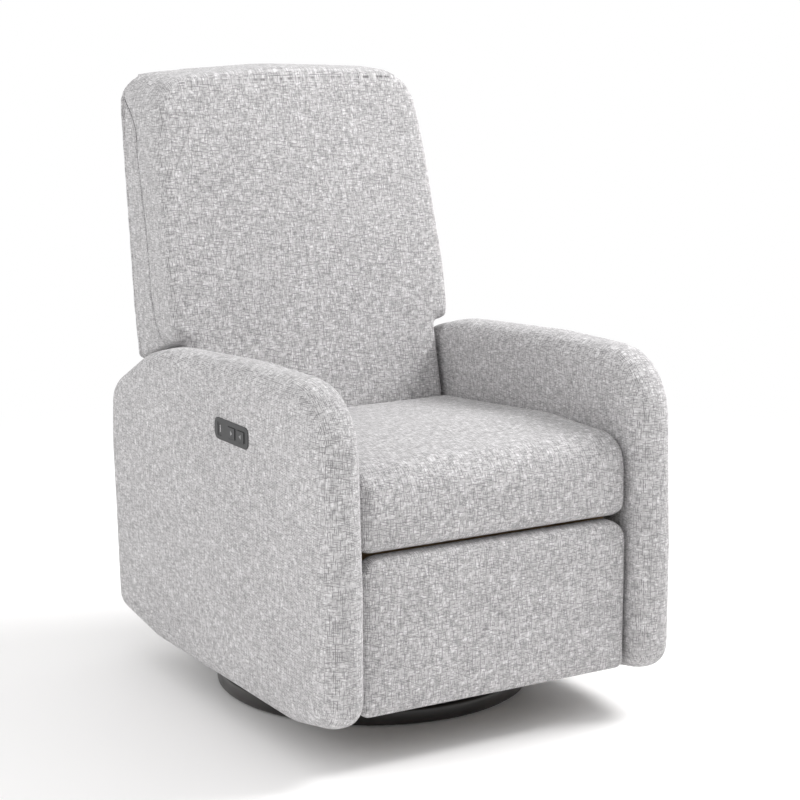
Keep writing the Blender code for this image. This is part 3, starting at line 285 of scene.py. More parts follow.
@dataclass(frozen=True)
class HeatheredWeave:
    """The cover cloth: a plain weave of thick and thin yarns in several greys, with painted shade
    in the gaps between yarns and along the seam grooves.
    """

    name: str = "heathered_weave"
    pitch: float = 0.0027
    slub: float = 0.015
    wander: float = 0.0016
    # dark grey of the painted shade in the gaps between yarns, also the far end of the random
    # large-scale tone
    dark: Rgb = (0.120, 0.116, 0.118)
    dull: Rgb = (0.430, 0.420, 0.425)
    grey: Rgb = (0.620, 0.607, 0.613)
    pale: Rgb = (0.820, 0.806, 0.814)
    # near-black colour of the painted shade along the seam grooves
    seam: Rgb = (0.030, 0.030, 0.031)
    lead: float = 0.3
    fleck: float = 0.04
    # strength of the painted shade in the gaps between yarns
    gap: float = 0.95
    opens: tuple[float, float] = (0.42, 0.60)
    relief: float = 0.0007
    wander_scale: float = 11.0
    shade: float = 0.16
    shade_scale: float = 2.6
    fuzz: float = 0.35
    fuzz_scale: float = 1500.0
    row_step: float = 3.71
    dip: float = 0.45

    def material(self) -> bpy.types.Material:
        """Builds the cloth.

        Returns:
            The finished material.
        """
        recipe = Recipe(self.name)
        chart = recipe.node("UVMap", uv_map=WEAVE_MAP).outputs[0]
        wobble = recipe.node("TexNoise")
        recipe.feed(wobble.inputs["Vector"], chart)
        wobble.inputs["Scale"].default_value = self.wander_scale
        wobble.inputs["Detail"].default_value = 1.0
        drift = recipe.parts(wobble.outputs["Color"])
        across, along = recipe.parts(chart)[:2]
        yarn_across = self._yarn(recipe, across, drift[0])
        yarn_along = self._yarn(recipe, along, drift[1])
        warp_row = recipe.math("FLOOR", yarn_across)
        weft_row = recipe.math("FLOOR", yarn_along)
        over = recipe.math("FLOORED_MODULO", recipe.math("ADD", warp_row, weft_row), 2.0)
        warp = self._tone(recipe, warp_row, along, 0.0)
        weft = self._tone(recipe, weft_row, across, 57.0)
        both = recipe.math("MULTIPLY", recipe.math("ADD", warp, weft), 0.5)
        apart = recipe.math("SUBTRACT", warp, weft)
        lead = recipe.math("MULTIPLY", apart, recipe.math("SUBTRACT", over, 0.5))
        tone = recipe.math("ADD", both, recipe.math("MULTIPLY", lead, self.lead))
        speck = recipe.node("TexWhiteNoise", noise_dimensions="2D")
        recipe.feed(speck.inputs["Vector"], recipe.point(warp_row, weft_row))
        centred = recipe.math("SUBTRACT", speck.outputs["Value"], 0.5)
        fleck = recipe.math("MULTIPLY", centred, self.fleck)
        colour = recipe.ramp(
            recipe.math("ADD", tone, fleck),
            ((0.37, self.dull), (0.47, self.grey), (0.53, self.grey), (0.63, self.pale)),
        )
        # painted shade: dark lines where neighbouring yarns part, opening and closing along them
        gap_shade_across = self._gap_shade(recipe, yarn_across, along, 23.0)
        gap_shade_along = self._gap_shade(recipe, yarn_along, across, 91.0)
        colour = recipe.mix(recipe.math("MAXIMUM", gap_shade_across, gap_shade_along), colour, self.dark)
        cloud = recipe.noise(recipe.place(), self.shade_scale, 1.0)
        shade = recipe.math("MULTIPLY", cloud, self.shade)
        colour = recipe.mix(shade, colour, self.dark)
        # painted shade: the cloth turns near-black along the middle of each seam groove
        mark = recipe.node("Attribute", attribute_name=SEAM_SHADE).outputs["Fac"]
        recipe.give("Base Color", recipe.mix(mark, colour, self.seam))
        hairs = recipe.noise(recipe.place(), self.fuzz_scale, 1.0)
        crown = self._crown(recipe, yarn_across, yarn_along, over)
        height = recipe.math("ADD", crown, recipe.math("MULTIPLY", hairs, self.fuzz))
        recipe.relief(height, self.relief, 0.8)
        recipe.give("Roughness", 0.92)
        recipe.give("Specular IOR Level", 0.18)
        recipe.give("Sheen Weight", 0.25)
        recipe.give("Sheen Roughness", 0.45)
        return recipe.material

    def _yarn(self, recipe: Recipe, place: object, drift: object) -> bpy.types.NodeSocket:
        """Counts yarns from the place across them in metres, with a slight wander."""
        bend = recipe.math("MULTIPLY", drift, self.wander)
        return recipe.math("DIVIDE", recipe.math("ADD", place, bend), self.pitch)

    def _tone(
        self, recipe: Recipe, row: object, along: object, apart: float
    ) -> bpy.types.NodeSocket:
        """The shade of each yarn, which changes slowly along it.

        Args:
            recipe: the material.
            row: the yarn's number.
            along: the place along the yarn, in metres.
            apart: keeps the two sets of yarns different.

        Returns:
            The tone's socket.
        """
        step = recipe.math("ADD", recipe.math("MULTIPLY", row, self.row_step), apart)
        reach = recipe.math("DIVIDE", along, self.slub)
        return recipe.noise(recipe.point(step, reach), 1.0, 2.0)

    def _gap_shade(
        self, recipe: Recipe, count: object, along: object, apart: float
    ) -> bpy.types.NodeSocket:
        """The painted shade in the thin gap between two yarns, which opens and closes along them.

        Args:
            recipe: the material.
            count: the yarn count across the lines.
            along: the place along the lines, in metres.
            apart: keeps the two sets of lines different.

        Returns:
            The socket of the painted shade's strength.
        """
        valley = recipe.math("SUBTRACT", 1.0, self._arch(recipe, count))
        near = recipe.math("FLOOR", recipe.math("ADD", count, 0.5))
        opened = self._tone(recipe, near, along, apart)
        share = recipe.rise(opened, *self.opens)
        return recipe.math("MULTIPLY", recipe.math("MULTIPLY", valley, share), self.gap)

    def _crown(
        self, recipe: Recipe, across: object, along: object, over: object
    ) -> bpy.types.NodeSocket:
        """The rounded top of whichever yarn lies uppermost.

        Args:
            recipe: the material.
            across: the yarn count across.
            along: the yarn count along.
            over: 1 where the warp is on top and 0 where the weft is.

        Returns:
            The socket of the height, from 0 to 1.
        """
        warp, weft = self._arch(recipe, across), self._arch(recipe, along)
        under = recipe.math("SUBTRACT", 1.0, over)
        own, cross = (
            recipe.math("ADD", recipe.math("MULTIPLY", a, over), recipe.math("MULTIPLY", b, under))
            for a, b in ((warp, weft), (weft, warp))
        )
        dipped = recipe.math("ADD", recipe.math("MULTIPLY", cross, self.dip), 1.0 - self.dip)
        return recipe.math("MULTIPLY", own, dipped)

    def _arch(self, recipe: Recipe, count: object) -> bpy.types.NodeSocket:
        """The round of a yarn's section: 0 at its sides and 1 on its top."""
        turn = recipe.math("MULTIPLY", recipe.math("FRACT", count), math.pi)
        return recipe.math("SINE", turn)


@dataclass(frozen=True)
class PowderCoat:
    """Baked paint on steel: an even skin with a fine orange peel."""

    name: str = "powder_coat"
    colour: Rgb = (0.0100, 0.0082, 0.0078)
    dust: Rgb = (0.040, 0.036, 0.034)
    roughness: float = 0.34

    def material(self) -> bpy.types.Material:
        """Builds the paint.

        Returns:
            The finished material.
        """
        recipe = Recipe(self.name)
        cloud = recipe.noise(recipe.place(), 9.0, 4.0)
        colour = recipe.ramp(cloud, ((0.42, self.colour), (0.78, self.dust)))
        recipe.give("Base Color", colour)
        gloss = recipe.math("MULTIPLY", recipe.noise(recipe.place(), 46.0, 3.0), 0.24)
        recipe.give("Roughness", recipe.math("ADD", gloss, self.roughness - 0.12))
        recipe.relief(recipe.noise(recipe.place(), 620.0, 1.0), 0.00012, 0.5)
        recipe.give("Coat Weight", 0.15)
        recipe.give("Coat Roughness", 0.25)
        return recipe.material


@dataclass(frozen=True)
class ZincPlate:
    """Plated steel of the links, pins and bearing: bright, clouded and finely drawn."""

    name: str = "zinc_plate"
    bright: Rgb = (0.62, 0.62, 0.61)
    dull: Rgb = (0.36, 0.36, 0.355)

    def material(self) -> bpy.types.Material:
        """Builds the plated steel.

        Returns:
            The finished material.
        """
        recipe = Recipe(self.name)
        cloud = recipe.noise(recipe.place(), 34.0, 5.0)
        recipe.give("Base Color", recipe.ramp(cloud, ((0.35, self.dull), (0.66, self.bright))))
        recipe.give("Metallic", 1.0)
        drawn = recipe.noise(recipe.place((1.0, 14.0, 1.0)), 160.0, 2.0)
        recipe.give("Roughness", recipe.math("ADD", recipe.math("MULTIPLY", drawn, 0.26), 0.20))
        recipe.relief(drawn, 0.00005, 0.4)
        return recipe.material


@dataclass(frozen=True)
class Plywood:
    """Birch plywood: long grain on the faces and stacked plies on the edges."""

    name: str = "birch_plywood"
    pale: Rgb = (0.60, 0.43, 0.26)
    warm: Rgb = (0.44, 0.28, 0.15)
    ply: float = 0.0016

    def material(self) -> bpy.types.Material:
        """Builds the wood.

        Returns:
            The finished material.
        """
        recipe = Recipe(self.name)
        grain = recipe.noise(recipe.place((1.0, 9.0, 9.0)), 14.0, 6.0)
        face = recipe.ramp(grain, ((0.32, self.warm), (0.68, self.pale)))
        layers = recipe.node("TexWave", bands_direction="X")
        recipe.feed(layers.inputs["Vector"], recipe.place())
        layers.inputs["Scale"].default_value = 0.31 / self.ply
        layers.inputs["Distortion"].default_value = 0.6
        edge = recipe.ramp(layers.outputs["Fac"], ((0.35, self.warm), (0.65, self.pale)))
        turned = recipe.parts(recipe.node("TexCoord").outputs["Normal"])[1]
        on_edge = recipe.math("GREATER_THAN", recipe.math("ABSOLUTE", turned), 0.6)
        recipe.give("Base Color", recipe.mix(recipe.math("MULTIPLY", on_edge, 0.5), face, edge))
        recipe.give("Roughness", 0.62)
        recipe.relief(grain, 0.0003, 0.4)
        return recipe.material


@dataclass(frozen=True)
class MouldedPlastic:
    """Moulded plastic with the fine spark-eroded grain of its tool."""

    name: str
    colour: Rgb
    worn: Rgb
    roughness: float = 0.46
    grain: float = 1800.0

    def material(self) -> bpy.types.Material:
        """Builds the plastic.

        Returns:
            The finished material.
        """
        recipe = Recipe(self.name)
        handled = recipe.noise(recipe.place(), 55.0, 3.0)
        recipe.give("Base Color", recipe.ramp(handled, ((0.45, self.colour), (0.85, self.worn))))
        sheen = recipe.math("MULTIPLY", handled, 0.16)
        recipe.give("Roughness", recipe.math("ADD", sheen, self.roughness - 0.08))
        recipe.relief(recipe.noise(recipe.place(), self.grain, 1.0), 0.00006, 0.5)
        return recipe.material


@dataclass(frozen=True)
class Rubber:
    """The soft pads under the ring: dull, slightly dusty rubber."""

    name: str = "pad_rubber"
    colour: Rgb = (0.016, 0.016, 0.016)
    dust: Rgb = (0.060, 0.058, 0.055)

    def material(self) -> bpy.types.Material:
        """Builds the rubber.

        Returns:
            The finished material.
        """
        recipe = Recipe(self.name)
        dusty = recipe.noise(recipe.place(), 120.0, 4.0)
        recipe.give("Base Color", recipe.ramp(dusty, ((0.48, self.colour), (0.85, self.dust))))
        recipe.give("Roughness", 0.82)
        recipe.relief(dusty, 0.0001, 0.5)
        return recipe.material


@dataclass(frozen=True)
class DeckWebbing:
    """Black woven webbing that closes the seat under the cushion."""

    name: str = "deck_webbing"
    colour: Rgb = (0.020, 0.020, 0.021)
    rib: Rgb = (0.075, 0.073, 0.072)

    def material(self) -> bpy.types.Material:
        """Builds the webbing.

        Returns:
            The finished material.
        """
        recipe = Recipe(self.name)
        across, along, _ = recipe.parts(recipe.place())
        ribs = recipe.math("SINE", recipe.math("MULTIPLY", across, 2900.0))
        rows = recipe.math("SINE", recipe.math("MULTIPLY", along, 1300.0))
        crossed = recipe.math("MULTIPLY", ribs, rows)
        cloth = recipe.math("ADD", recipe.math("MULTIPLY", crossed, 0.5), 0.5)
        recipe.give("Base Color", recipe.ramp(cloth, ((0.2, self.colour), (0.9, self.rib))))
        recipe.give("Roughness", 0.88)
        recipe.relief(cloth, 0.0004, 0.8)
        return recipe.material


@dataclass(frozen=True)
class PaleFloor:
    """The studio's seamless white floor."""

    name: str = "studio_floor"
    colour: Rgb = (0.93, 0.922, 0.918)
    near: float = 1.1
    far: float = 2.6

    def material(self) -> bpy.types.Material:
        """Builds the floor's paint, which runs out into plain white away from the chair.

        Returns:
            The finished material.
        """
        recipe = Recipe(self.name)
        recipe.give("Base Color", (*self.colour, 1.0))
        across, along, _ = recipe.parts(recipe.node("TexCoord").outputs["Object"])
        squares = [recipe.math("POWER", part, 2.0) for part in (across, along)]
        apart = recipe.math("SQRT", recipe.math("ADD", *squares))
        glow = recipe.node("Emission")
        blend = recipe.node("MixShader")
        recipe.feed(blend.inputs[0], recipe.rise(apart, self.near, self.far))
        recipe.feed(blend.inputs[1], recipe.shader.outputs["BSDF"])
        recipe.feed(blend.inputs[2], glow.outputs["Emission"])
        recipe.feed(recipe.tree.nodes["Material Output"].inputs["Surface"], blend.outputs["Shader"])
        recipe.give("Roughness", 0.55)
        recipe.give("Specular IOR Level", 0.2)
        return recipe.material


class Slot(Enum):
    """The finishes by the record's slot names."""

    FABRIC = "fabric"
    WEBBING = "webbing"
    BLACK_STEEL = "black_steel"
    ZINC_STEEL = "zinc_steel"
    PLYWOOD = "plywood"
    CHARCOAL_PLASTIC = "charcoal_plastic"
    BLACK_PLASTIC = "black_plastic"
    RUBBER = "rubber"


FINISHES = {
    Slot.FABRIC: HeatheredWeave(),
    Slot.WEBBING: DeckWebbing(),
    Slot.BLACK_STEEL: PowderCoat(),
    Slot.ZINC_STEEL: ZincPlate(),
    Slot.PLYWOOD: Plywood(),
    Slot.CHARCOAL_PLASTIC: MouldedPlastic(
        "charcoal_plastic", (0.030, 0.030, 0.031), (0.050, 0.050, 0.052)
    ),
    Slot.BLACK_PLASTIC: MouldedPlastic(
        "black_plastic", (0.012, 0.012, 0.013), (0.030, 0.030, 0.032), 0.36
    ),
    Slot.RUBBER: Rubber(),
}


class Paints:
    """Builds each finish once and hands it out."""

    def __init__(self) -> None:
        """Starts with no finish built."""
        self._made: dict[Slot, bpy.types.Material] = {}

    def __call__(self, slot: Slot) -> bpy.types.Material:
        """Gives the material of one of the record's slots."""
        if slot not in self._made:
            self._made[slot] = FINISHES[slot].material()
        return self._made[slot]


# ---- mesh helpers


def solid_of(node: str) -> bmesh.types.BMesh:
    """Copies a frame node's mesh with its loose triangles joined.

    Args:
        node: the node's name.

    Returns:
        The closed shape.
    """
    shape = bmesh.new()
    shape.from_mesh(frame["nodes"][node].data)
    bmesh.ops.remove_doubles(shape, verts=shape.verts, dist=0.00002)
    bmesh.ops.recalc_face_normals(shape, faces=shape.faces)
    return shape


def new_piece(name: str, shape: bmesh.types.BMesh) -> bpy.types.Object:
    """Turns a finished shape into an object at the origin, shaded smooth.

    Args:
        name: the piece's name.
        shape: its shape, which is freed.

    Returns:
        The new object.
    """
    mesh = bpy.data.meshes.new(name)
    shape.to_mesh(mesh)
    shape.free()
    mesh.shade_smooth()
    made = bpy.data.objects.new(name, mesh)
    bpy.context.scene.collection.objects.link(made)
    return made


def settle(made: bpy.types.Object) -> None:
    """Applies every modifier of a piece to its mesh."""
    bpy.context.view_layer.update()
    graph = bpy.context.evaluated_depsgraph_get()
    done = bpy.data.meshes.new_from_object(made.evaluated_get(graph))
    made.modifiers.clear()
    made.data = done
    made.data.shade_smooth()


def points_of(mesh: bpy.types.Mesh, what: str = "co") -> np.ndarray:
    """Reads a mesh's vertices.

    Args:
        mesh: the mesh.
        what: co for their places or normal for the directions that they face.

    Returns:
        An array with a row of three for each vertex.
    """
    flat = np.zeros(len(mesh.vertices) * 3, np.float32)
    mesh.vertices.foreach_get(what, flat)
    return flat.reshape(-1, 3).astype(float)


def normals_of(mesh: bpy.types.Mesh) -> np.ndarray:
    """Reads the directions that a mesh's vertices face."""
    return points_of(mesh, "normal")


def put_points(mesh: bpy.types.Mesh, points: np.ndarray) -> None:
    """Writes a mesh's vertices.

    Args:
        mesh: the mesh.
        points: a row of three for each vertex.
    """
    mesh.vertices.foreach_set("co", points.astype(np.float32).ravel())
    mesh.update()


def side_slice(node: str, x: float) -> bmesh.types.BMesh:
    """Cuts a node with a plane across X and fills the cut.

    Args:
        node: the node's name.
        x: where the plane stands.

    Returns:
        One flat face in that plane.
    """
    shape = solid_of(node)
    bmesh.ops.bisect_plane(
        shape,
        geom=[*shape.verts, *shape.edges, *shape.faces],
        dist=1e-6,
        plane_co=(x, 0, 0),
        plane_no=(1, 0, 0),
        clear_inner=True,
        clear_outer=True,
    )
    bmesh.ops.edgeloop_fill(shape, edges=shape.edges)
    return shape


def round_off(
    shape: bmesh.types.BMesh, geom: Sequence, offset: float, segments: int, affect: str = "EDGES"
) -> None:
    """Rounds edges or corners off a shape.

    Args:
        shape: the shape.
        geom: the edges, or the corners.
        offset: how far the rounding reaches.
        segments: its steps.
        affect: EDGES or VERTICES.
    """
    bmesh.ops.bevel(
        shape,
        geom=geom,
        offset=offset,
        segments=segments,
        profile=0.5,
        affect=affect,
        material=-1,
    )


def draw_out(shape: bmesh.types.BMesh, step: float) -> None:
    """Draws a flat shape out along X into a solid.

    Args:
        shape: the shape.
        step: how far, with its sign.
    """
    grown = bmesh.ops.extrude_face_region(shape, geom=shape.faces[:])
    moved = [item for item in grown["geom"] if isinstance(item, bmesh.types.BMVert)]
    bmesh.ops.translate(shape, vec=(step, 0, 0), verts=moved)
    bmesh.ops.recalc_face_normals(shape, faces=shape.faces)


def smooth_step(value: np.ndarray, low: float, high: float) -> np.ndarray:
    """Rises smoothly from 0 to 1 between two values.

    Args:
        value: where to read it.
        low: where it starts to rise.
        high: where it reaches 1.

    Returns:
        The share at each value.
    """
    share = np.clip((value - low) / (high - low), 0.0, 1.0)
    return share * share * (3.0 - 2.0 * share)


# ---- padding


@dataclass
class Padding:
    """How a soft piece is filled: the cloth simulation's sizes."""

    voxel: float = 0.008
    shrink: float = 0.001
    pressure: float = 4.0
    cap: float = 0.003
    sink: float = 0.0005
    stiffness: float = 12.0
    frames: int = 20
    fill: float = 0.8

    def remesh(self, made: bpy.types.Object) -> None:
        """Gives a piece an even mesh of small squares, slightly inside its outline.

        Args:
            made: the piece.
        """
        grid = made.modifiers.new("even_grid", "REMESH")
        grid.mode = "VOXEL"
        grid.voxel_size = self.voxel
        settle(made)
        put_points(made.data, points_of(made.data) - self.shrink * normals_of(made.data))

    def inflate(self, made: bpy.types.Object, strength: np.ndarray) -> None:
        """Swells a piece with Blender's cloth and keeps a part of the movement.

        Args:
            made: the piece, already remeshed.
            strength: for each vertex the share of the movement that it keeps.
        """
        start = points_of(made.data)
        facing = normals_of(made.data)
        cloth = made.modifiers.new("stuffing", "CLOTH")
        cloth.settings.quality = 5
        cloth.settings.mass = 0.3
        cloth.settings.tension_stiffness = self.stiffness
        cloth.settings.compression_stiffness = self.stiffness
        cloth.settings.shear_stiffness = self.stiffness / 2
        cloth.settings.bending_stiffness = 0.5
        cloth.settings.use_pressure = True
        cloth.settings.uniform_pressure_force = self.pressure
        cloth.settings.effector_weights.gravity = 0.0
        cloth.collision_settings.use_self_collision = False
        scene = bpy.context.scene
        for number in range(1, self.frames + 1):
            scene.frame_set(number)
        swollen = made.evaluated_get(bpy.context.evaluated_depsgraph_get())
        moved = points_of(swollen.data) - start
        made.modifiers.clear()
        scene.frame_set(1)
        moved -= moved.mean(axis=0)
        reach = np.percentile(np.linalg.norm(moved, axis=1), 98)
        share = min(1.0, (self.cap + self.shrink) / max(reach, 1e-6))
        LOG.info("%s swelled %.1f mm, %.0f %% is kept", made.name, 1000 * reach, 100 * share)
        moved *= share * strength[:, None]
        outward = np.sum(moved * facing, axis=1)
        held = np.maximum(outward, -self.sink) - outward
        put_points(made.data, start + moved + held[:, None] * facing)

    def refine(self, made: bpy.types.Object) -> None:
        """Divides every square of a piece into four on a smooth surface.

        Args:
            made: the piece.
        """
        finer = made.modifiers.new("finer", "SUBSURF")
        finer.levels = 1
        finer.render_levels = 1
        settle(made)


@dataclass
class Seam:
    """A sewn line: a pressed groove where a surface crosses a given sheet in space, with painted
    shade along its middle.
    """

    offset: Callable[[np.ndarray], np.ndarray]
    width: float = 0.0030
    depth: float = 0.0040
    # width of the painted shade along the groove's middle
    line: float = 0.0018

    def press(self, made: bpy.types.Object) -> None:
        """Divides the mesh finely near the seam, presses it in and marks a painted shade along the
        groove's middle.

        Args:
            made: the piece.
        """
        shape = bmesh.new()
        shape.from_mesh(made.data)
        for reach in (5.0, 3.5):
            spots = np.array([vert.co for vert in shape.verts], float)
            near = np.abs(self.offset(spots)) < reach * self.width
            shape.verts.ensure_lookup_table()
            edges = [edge for edge in shape.edges if all(near[v.index] for v in edge.verts)]
            bmesh.ops.subdivide_edges(shape, edges=edges, cuts=1, use_grid_fill=True, smooth=0.0)
            shape.verts.index_update()
        shape.normal_update()
        spots = np.array([vert.co for vert in shape.verts], float)
        away = self.offset(spots)
        pressed = self.depth * np.exp(-((away / self.width) ** 2))
        for vert, depth in zip(shape.verts, pressed):
            if depth > 1e-5:
                vert.co -= vert.normal * float(depth)
        shape.to_mesh(made.data)
        shape.free()
        made.data.shade_smooth()
        # the painted shade's strength: 1 on the seam's line, fading within a few millimetres
        held = made.data.attributes
        shade_marks = held.get(SEAM_SHADE) or held.new(SEAM_SHADE, "FLOAT", "POINT")
        values = np.exp(-((away / self.line) ** 2)).astype(np.float32)
        shade_marks.data.foreach_set("value", values)


@dataclass
class WeaveChart:
    """Lays the cloth's yarns on a piece: straight on its sides and along its outline elsewhere."""

    outline: np.ndarray
    apart: float = 0.0

    @classmethod
    def from_node(cls, node: str, x: float, apart: float) -> "WeaveChart":
        """Takes the outline from a slice of a frame node.

        Args:
            node: the node's name.
            x: where the slice stands.
            apart: moves the pattern so that pieces differ.

        Returns:
            The chart.
        """
        shape = side_slice(node, x)
        shape.faces.ensure_lookup_table()
        face = max(shape.faces, key=lambda item: item.calc_area())
        loop = np.array([(vert.co.y, vert.co.z) for vert in face.verts], float)
        shape.free()
        first = int(np.argmin(loop[:, 1] - 0.6 * loop[:, 0]))
        loop = np.roll(loop, -first, axis=0)
        return cls(np.vstack([loop, loop[:1]]), apart)

    def along(self, y: np.ndarray, z: np.ndarray) -> np.ndarray:
        """The distance along the outline to the point nearest to each place.

        Args:
            y: places along Y.
            z: places along Z.

        Returns:
            The distance along the outline, in metres.
        """
        start, end = self.outline[:-1], self.outline[1:]
        run = end - start
        length = np.linalg.norm(run, axis=1)
        before = np.concatenate([[0.0], np.cumsum(length)[:-1]])
        best = np.full(len(y), np.inf)
        reach = np.zeros(len(y))
        for origin, step, size, base in zip(start, run, length, before):
            if size < 1e-7:
                continue
            ahead = (y - origin[0]) * step[0] + (z - origin[1]) * step[1]
            share = np.clip(ahead / size**2, 0.0, 1.0)
            gap = (y - origin[0] - share * step[0]) ** 2 + (z - origin[1] - share * step[1]) ** 2
            closer = gap < best
            best = np.where(closer, gap, best)
            reach = np.where(closer, base + share * size, reach)
        return reach

    def lay(self, made: bpy.types.Object) -> None:
        """Writes the chart into the piece's own map.

        Args:
            made: the piece.
        """
        mesh = made.data
        points = points_of(mesh)
        corners = np.zeros(len(mesh.loops), np.int32)
        mesh.loops.foreach_get("vertex_index", corners)
        normals = np.zeros(len(mesh.polygons) * 3, np.float32)
        mesh.polygons.foreach_get("normal", normals)
        sizes = np.zeros(len(mesh.polygons), np.int32)
        mesh.polygons.foreach_get("loop_total", sizes)
        facing_side = np.repeat(np.abs(normals.reshape(-1, 3)[:, 0]) > SIDE_FACING, sizes)
        reach = self.along(points[:, 1], points[:, 2])
        spot = points[corners]
        chart = np.where(
            facing_side[:, None],
            np.column_stack([spot[:, 1] + SIDE_SHIFT, spot[:, 2]]),
            np.column_stack([spot[:, 0], reach[corners]]),
        )
        layer = mesh.uv_layers.get(WEAVE_MAP) or mesh.uv_layers.new(name=WEAVE_MAP)
        layer.data.foreach_set("uv", (chart + self.apart).astype(np.float32).ravel())


@dataclass
class PaddedPiece:
    """A padded, upholstered part that covers one soft solid of the frame."""

    name: str
    node: str
    body: str
    padding: Padding
    chart: WeaveChart
    seams: list[Seam] = field(default_factory=list)
    low: Rgb = (-FAR, -FAR, -FAR)
    high: Rgb = (FAR, FAR, FAR)
    still: Callable[[np.ndarray], np.ndarray] | None = None

    def build(self, shape: bmesh.types.BMesh, paints: Paints) -> bpy.types.Object:
        """Stuffs, sews and dresses the piece.

        Args:
            shape: the shape to start from.
            paints: the finishes.

        Returns:
            The finished piece.
        """
        made = new_piece(self.name, shape)
        self.padding.remesh(made)
        points = points_of(made.data)
        strength = np.ones(len(points)) if self.still is None else self.still(points)
        self.padding.inflate(made, strength)
        self.padding.refine(made)
        put_points(made.data, np.clip(points_of(made.data), self.low, self.high))
        for seam in self.seams:
            seam.press(made)
        # pieces without a seam get an empty painted-shade mark
        if not self.seams:
            made.data.attributes.new(SEAM_SHADE, "FLOAT", "POINT")
        self.chart.lay(made)
        made.data.materials.clear()
        made.data.materials.append(paints(Slot.FABRIC))
        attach(made, self.body)
        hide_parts(self.node)
        LOG.info("%s: %d faces", self.name, len(made.data.polygons))
        return made


# ---- sub-assemblies


@dataclass
class Seat:
    """The seat cushion: a waterfall front and a crowned top."""

    padding: Padding = field(default_factory=lambda: Padding(0.007, 0.0005, 4.0, 0.004))
    side_room: float = 0.0012
    front_room: float = 0.004
    under_room: float = 0.001
    crown_room: float = 0.02

    def build(self, paints: Paints) -> list[bpy.types.Object]:
        """Builds the cushion's cover.

        Args:
            paints: the finishes.

        Returns:
            The piece, in a list.
        """
        low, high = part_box("seat_cushion")
        chart = WeaveChart.from_node("seat_cushion", SLICE_X, 1.37)
        reach = self.side_room
        cover = PaddedPiece(
            "seat_cover",
            "seat_cushion",
            "carriage",
            self.padding,
            chart,
            low=(low.x - reach, low.y - self.front_room, low.z - self.under_room),
            high=(high.x + reach, high.y, high.z + self.crown_room),
        )
        return [cover.build(solid_of("seat_cushion"), paints)]


@dataclass
class Arms:
    """The two padded arms, each swollen from the outline of the frame's own arm."""

    padding: Padding = field(default_factory=lambda: Padding(0.008, 0.001, 4.0, 0.0025, fill=0.85))
    edge_round: float = 0.033
    slice_share: float = 0.72
    inner_room: float = 0.0012

    def build(self, paints: Paints) -> list[bpy.types.Object]:
        """Builds both arm covers with the given finishes."""
        return [self._arm(side, paints) for side in Side]

    def _arm(self, side: Side, paints: Paints) -> bpy.types.Object:
        """Builds one arm cover.

        Args:
            side: which arm.
            paints: the finishes.

        Returns:
            The piece.
        """
        node = f"arm_{side.word}"
        low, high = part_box(node)
        inner, outer = sorted((low.x, high.x), key=abs)
        middle = inner + (outer - inner) * self.slice_share
        shape = side_slice(node, middle)
        bmesh.ops.translate(shape, vec=(inner - middle, 0, 0), verts=shape.verts)
        draw_out(shape, outer - inner)
        rims = [edge for edge in shape.edges if abs(edge.verts[0].co.x - edge.verts[1].co.x) < 1e-6]
        round_off(shape, rims, self.edge_round, 6)
        room = self.inner_room
        confine = (inner - room, FAR) if side is Side.LEFT else (-FAR, inner + room)
        cover = PaddedPiece(
            f"arm_cover_{side.word}",
            node,
            "carriage",
            self.padding,
            WeaveChart.from_node(node, middle, 0.53 * side.value),
            low=(confine[0], -FAR, -FAR),
            high=(confine[1], FAR, FAR),
        )
        return cover.build(shape, paints)


@dataclass
class Footrest:
    """The padded panel that folds out from under the seat."""

    padding: Padding = field(default_factory=lambda: Padding(0.005, 0.0005, 4.0, 0.003))
    side_room: float = 0.0016
    foot_room: float = 0.002

    def build(self, paints: Paints) -> list[bpy.types.Object]:
        """Builds the panel's cover.

        Args:
            paints: the finishes.

        Returns:
            The piece, in a list.
        """
        low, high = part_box("footrest_pad")
        room = self.side_room
        cover = PaddedPiece(
            "footrest_cover",
            "footrest_pad",
            "footrest",
            self.padding,
            WeaveChart.from_node("footrest_pad", SLICE_X, 2.11),
            low=(low.x - room, -FAR, low.z - self.foot_room),
            high=(high.x + room, high.y, high.z + room),
        )
        return [cover.build(solid_of("footrest_pad"), paints)]


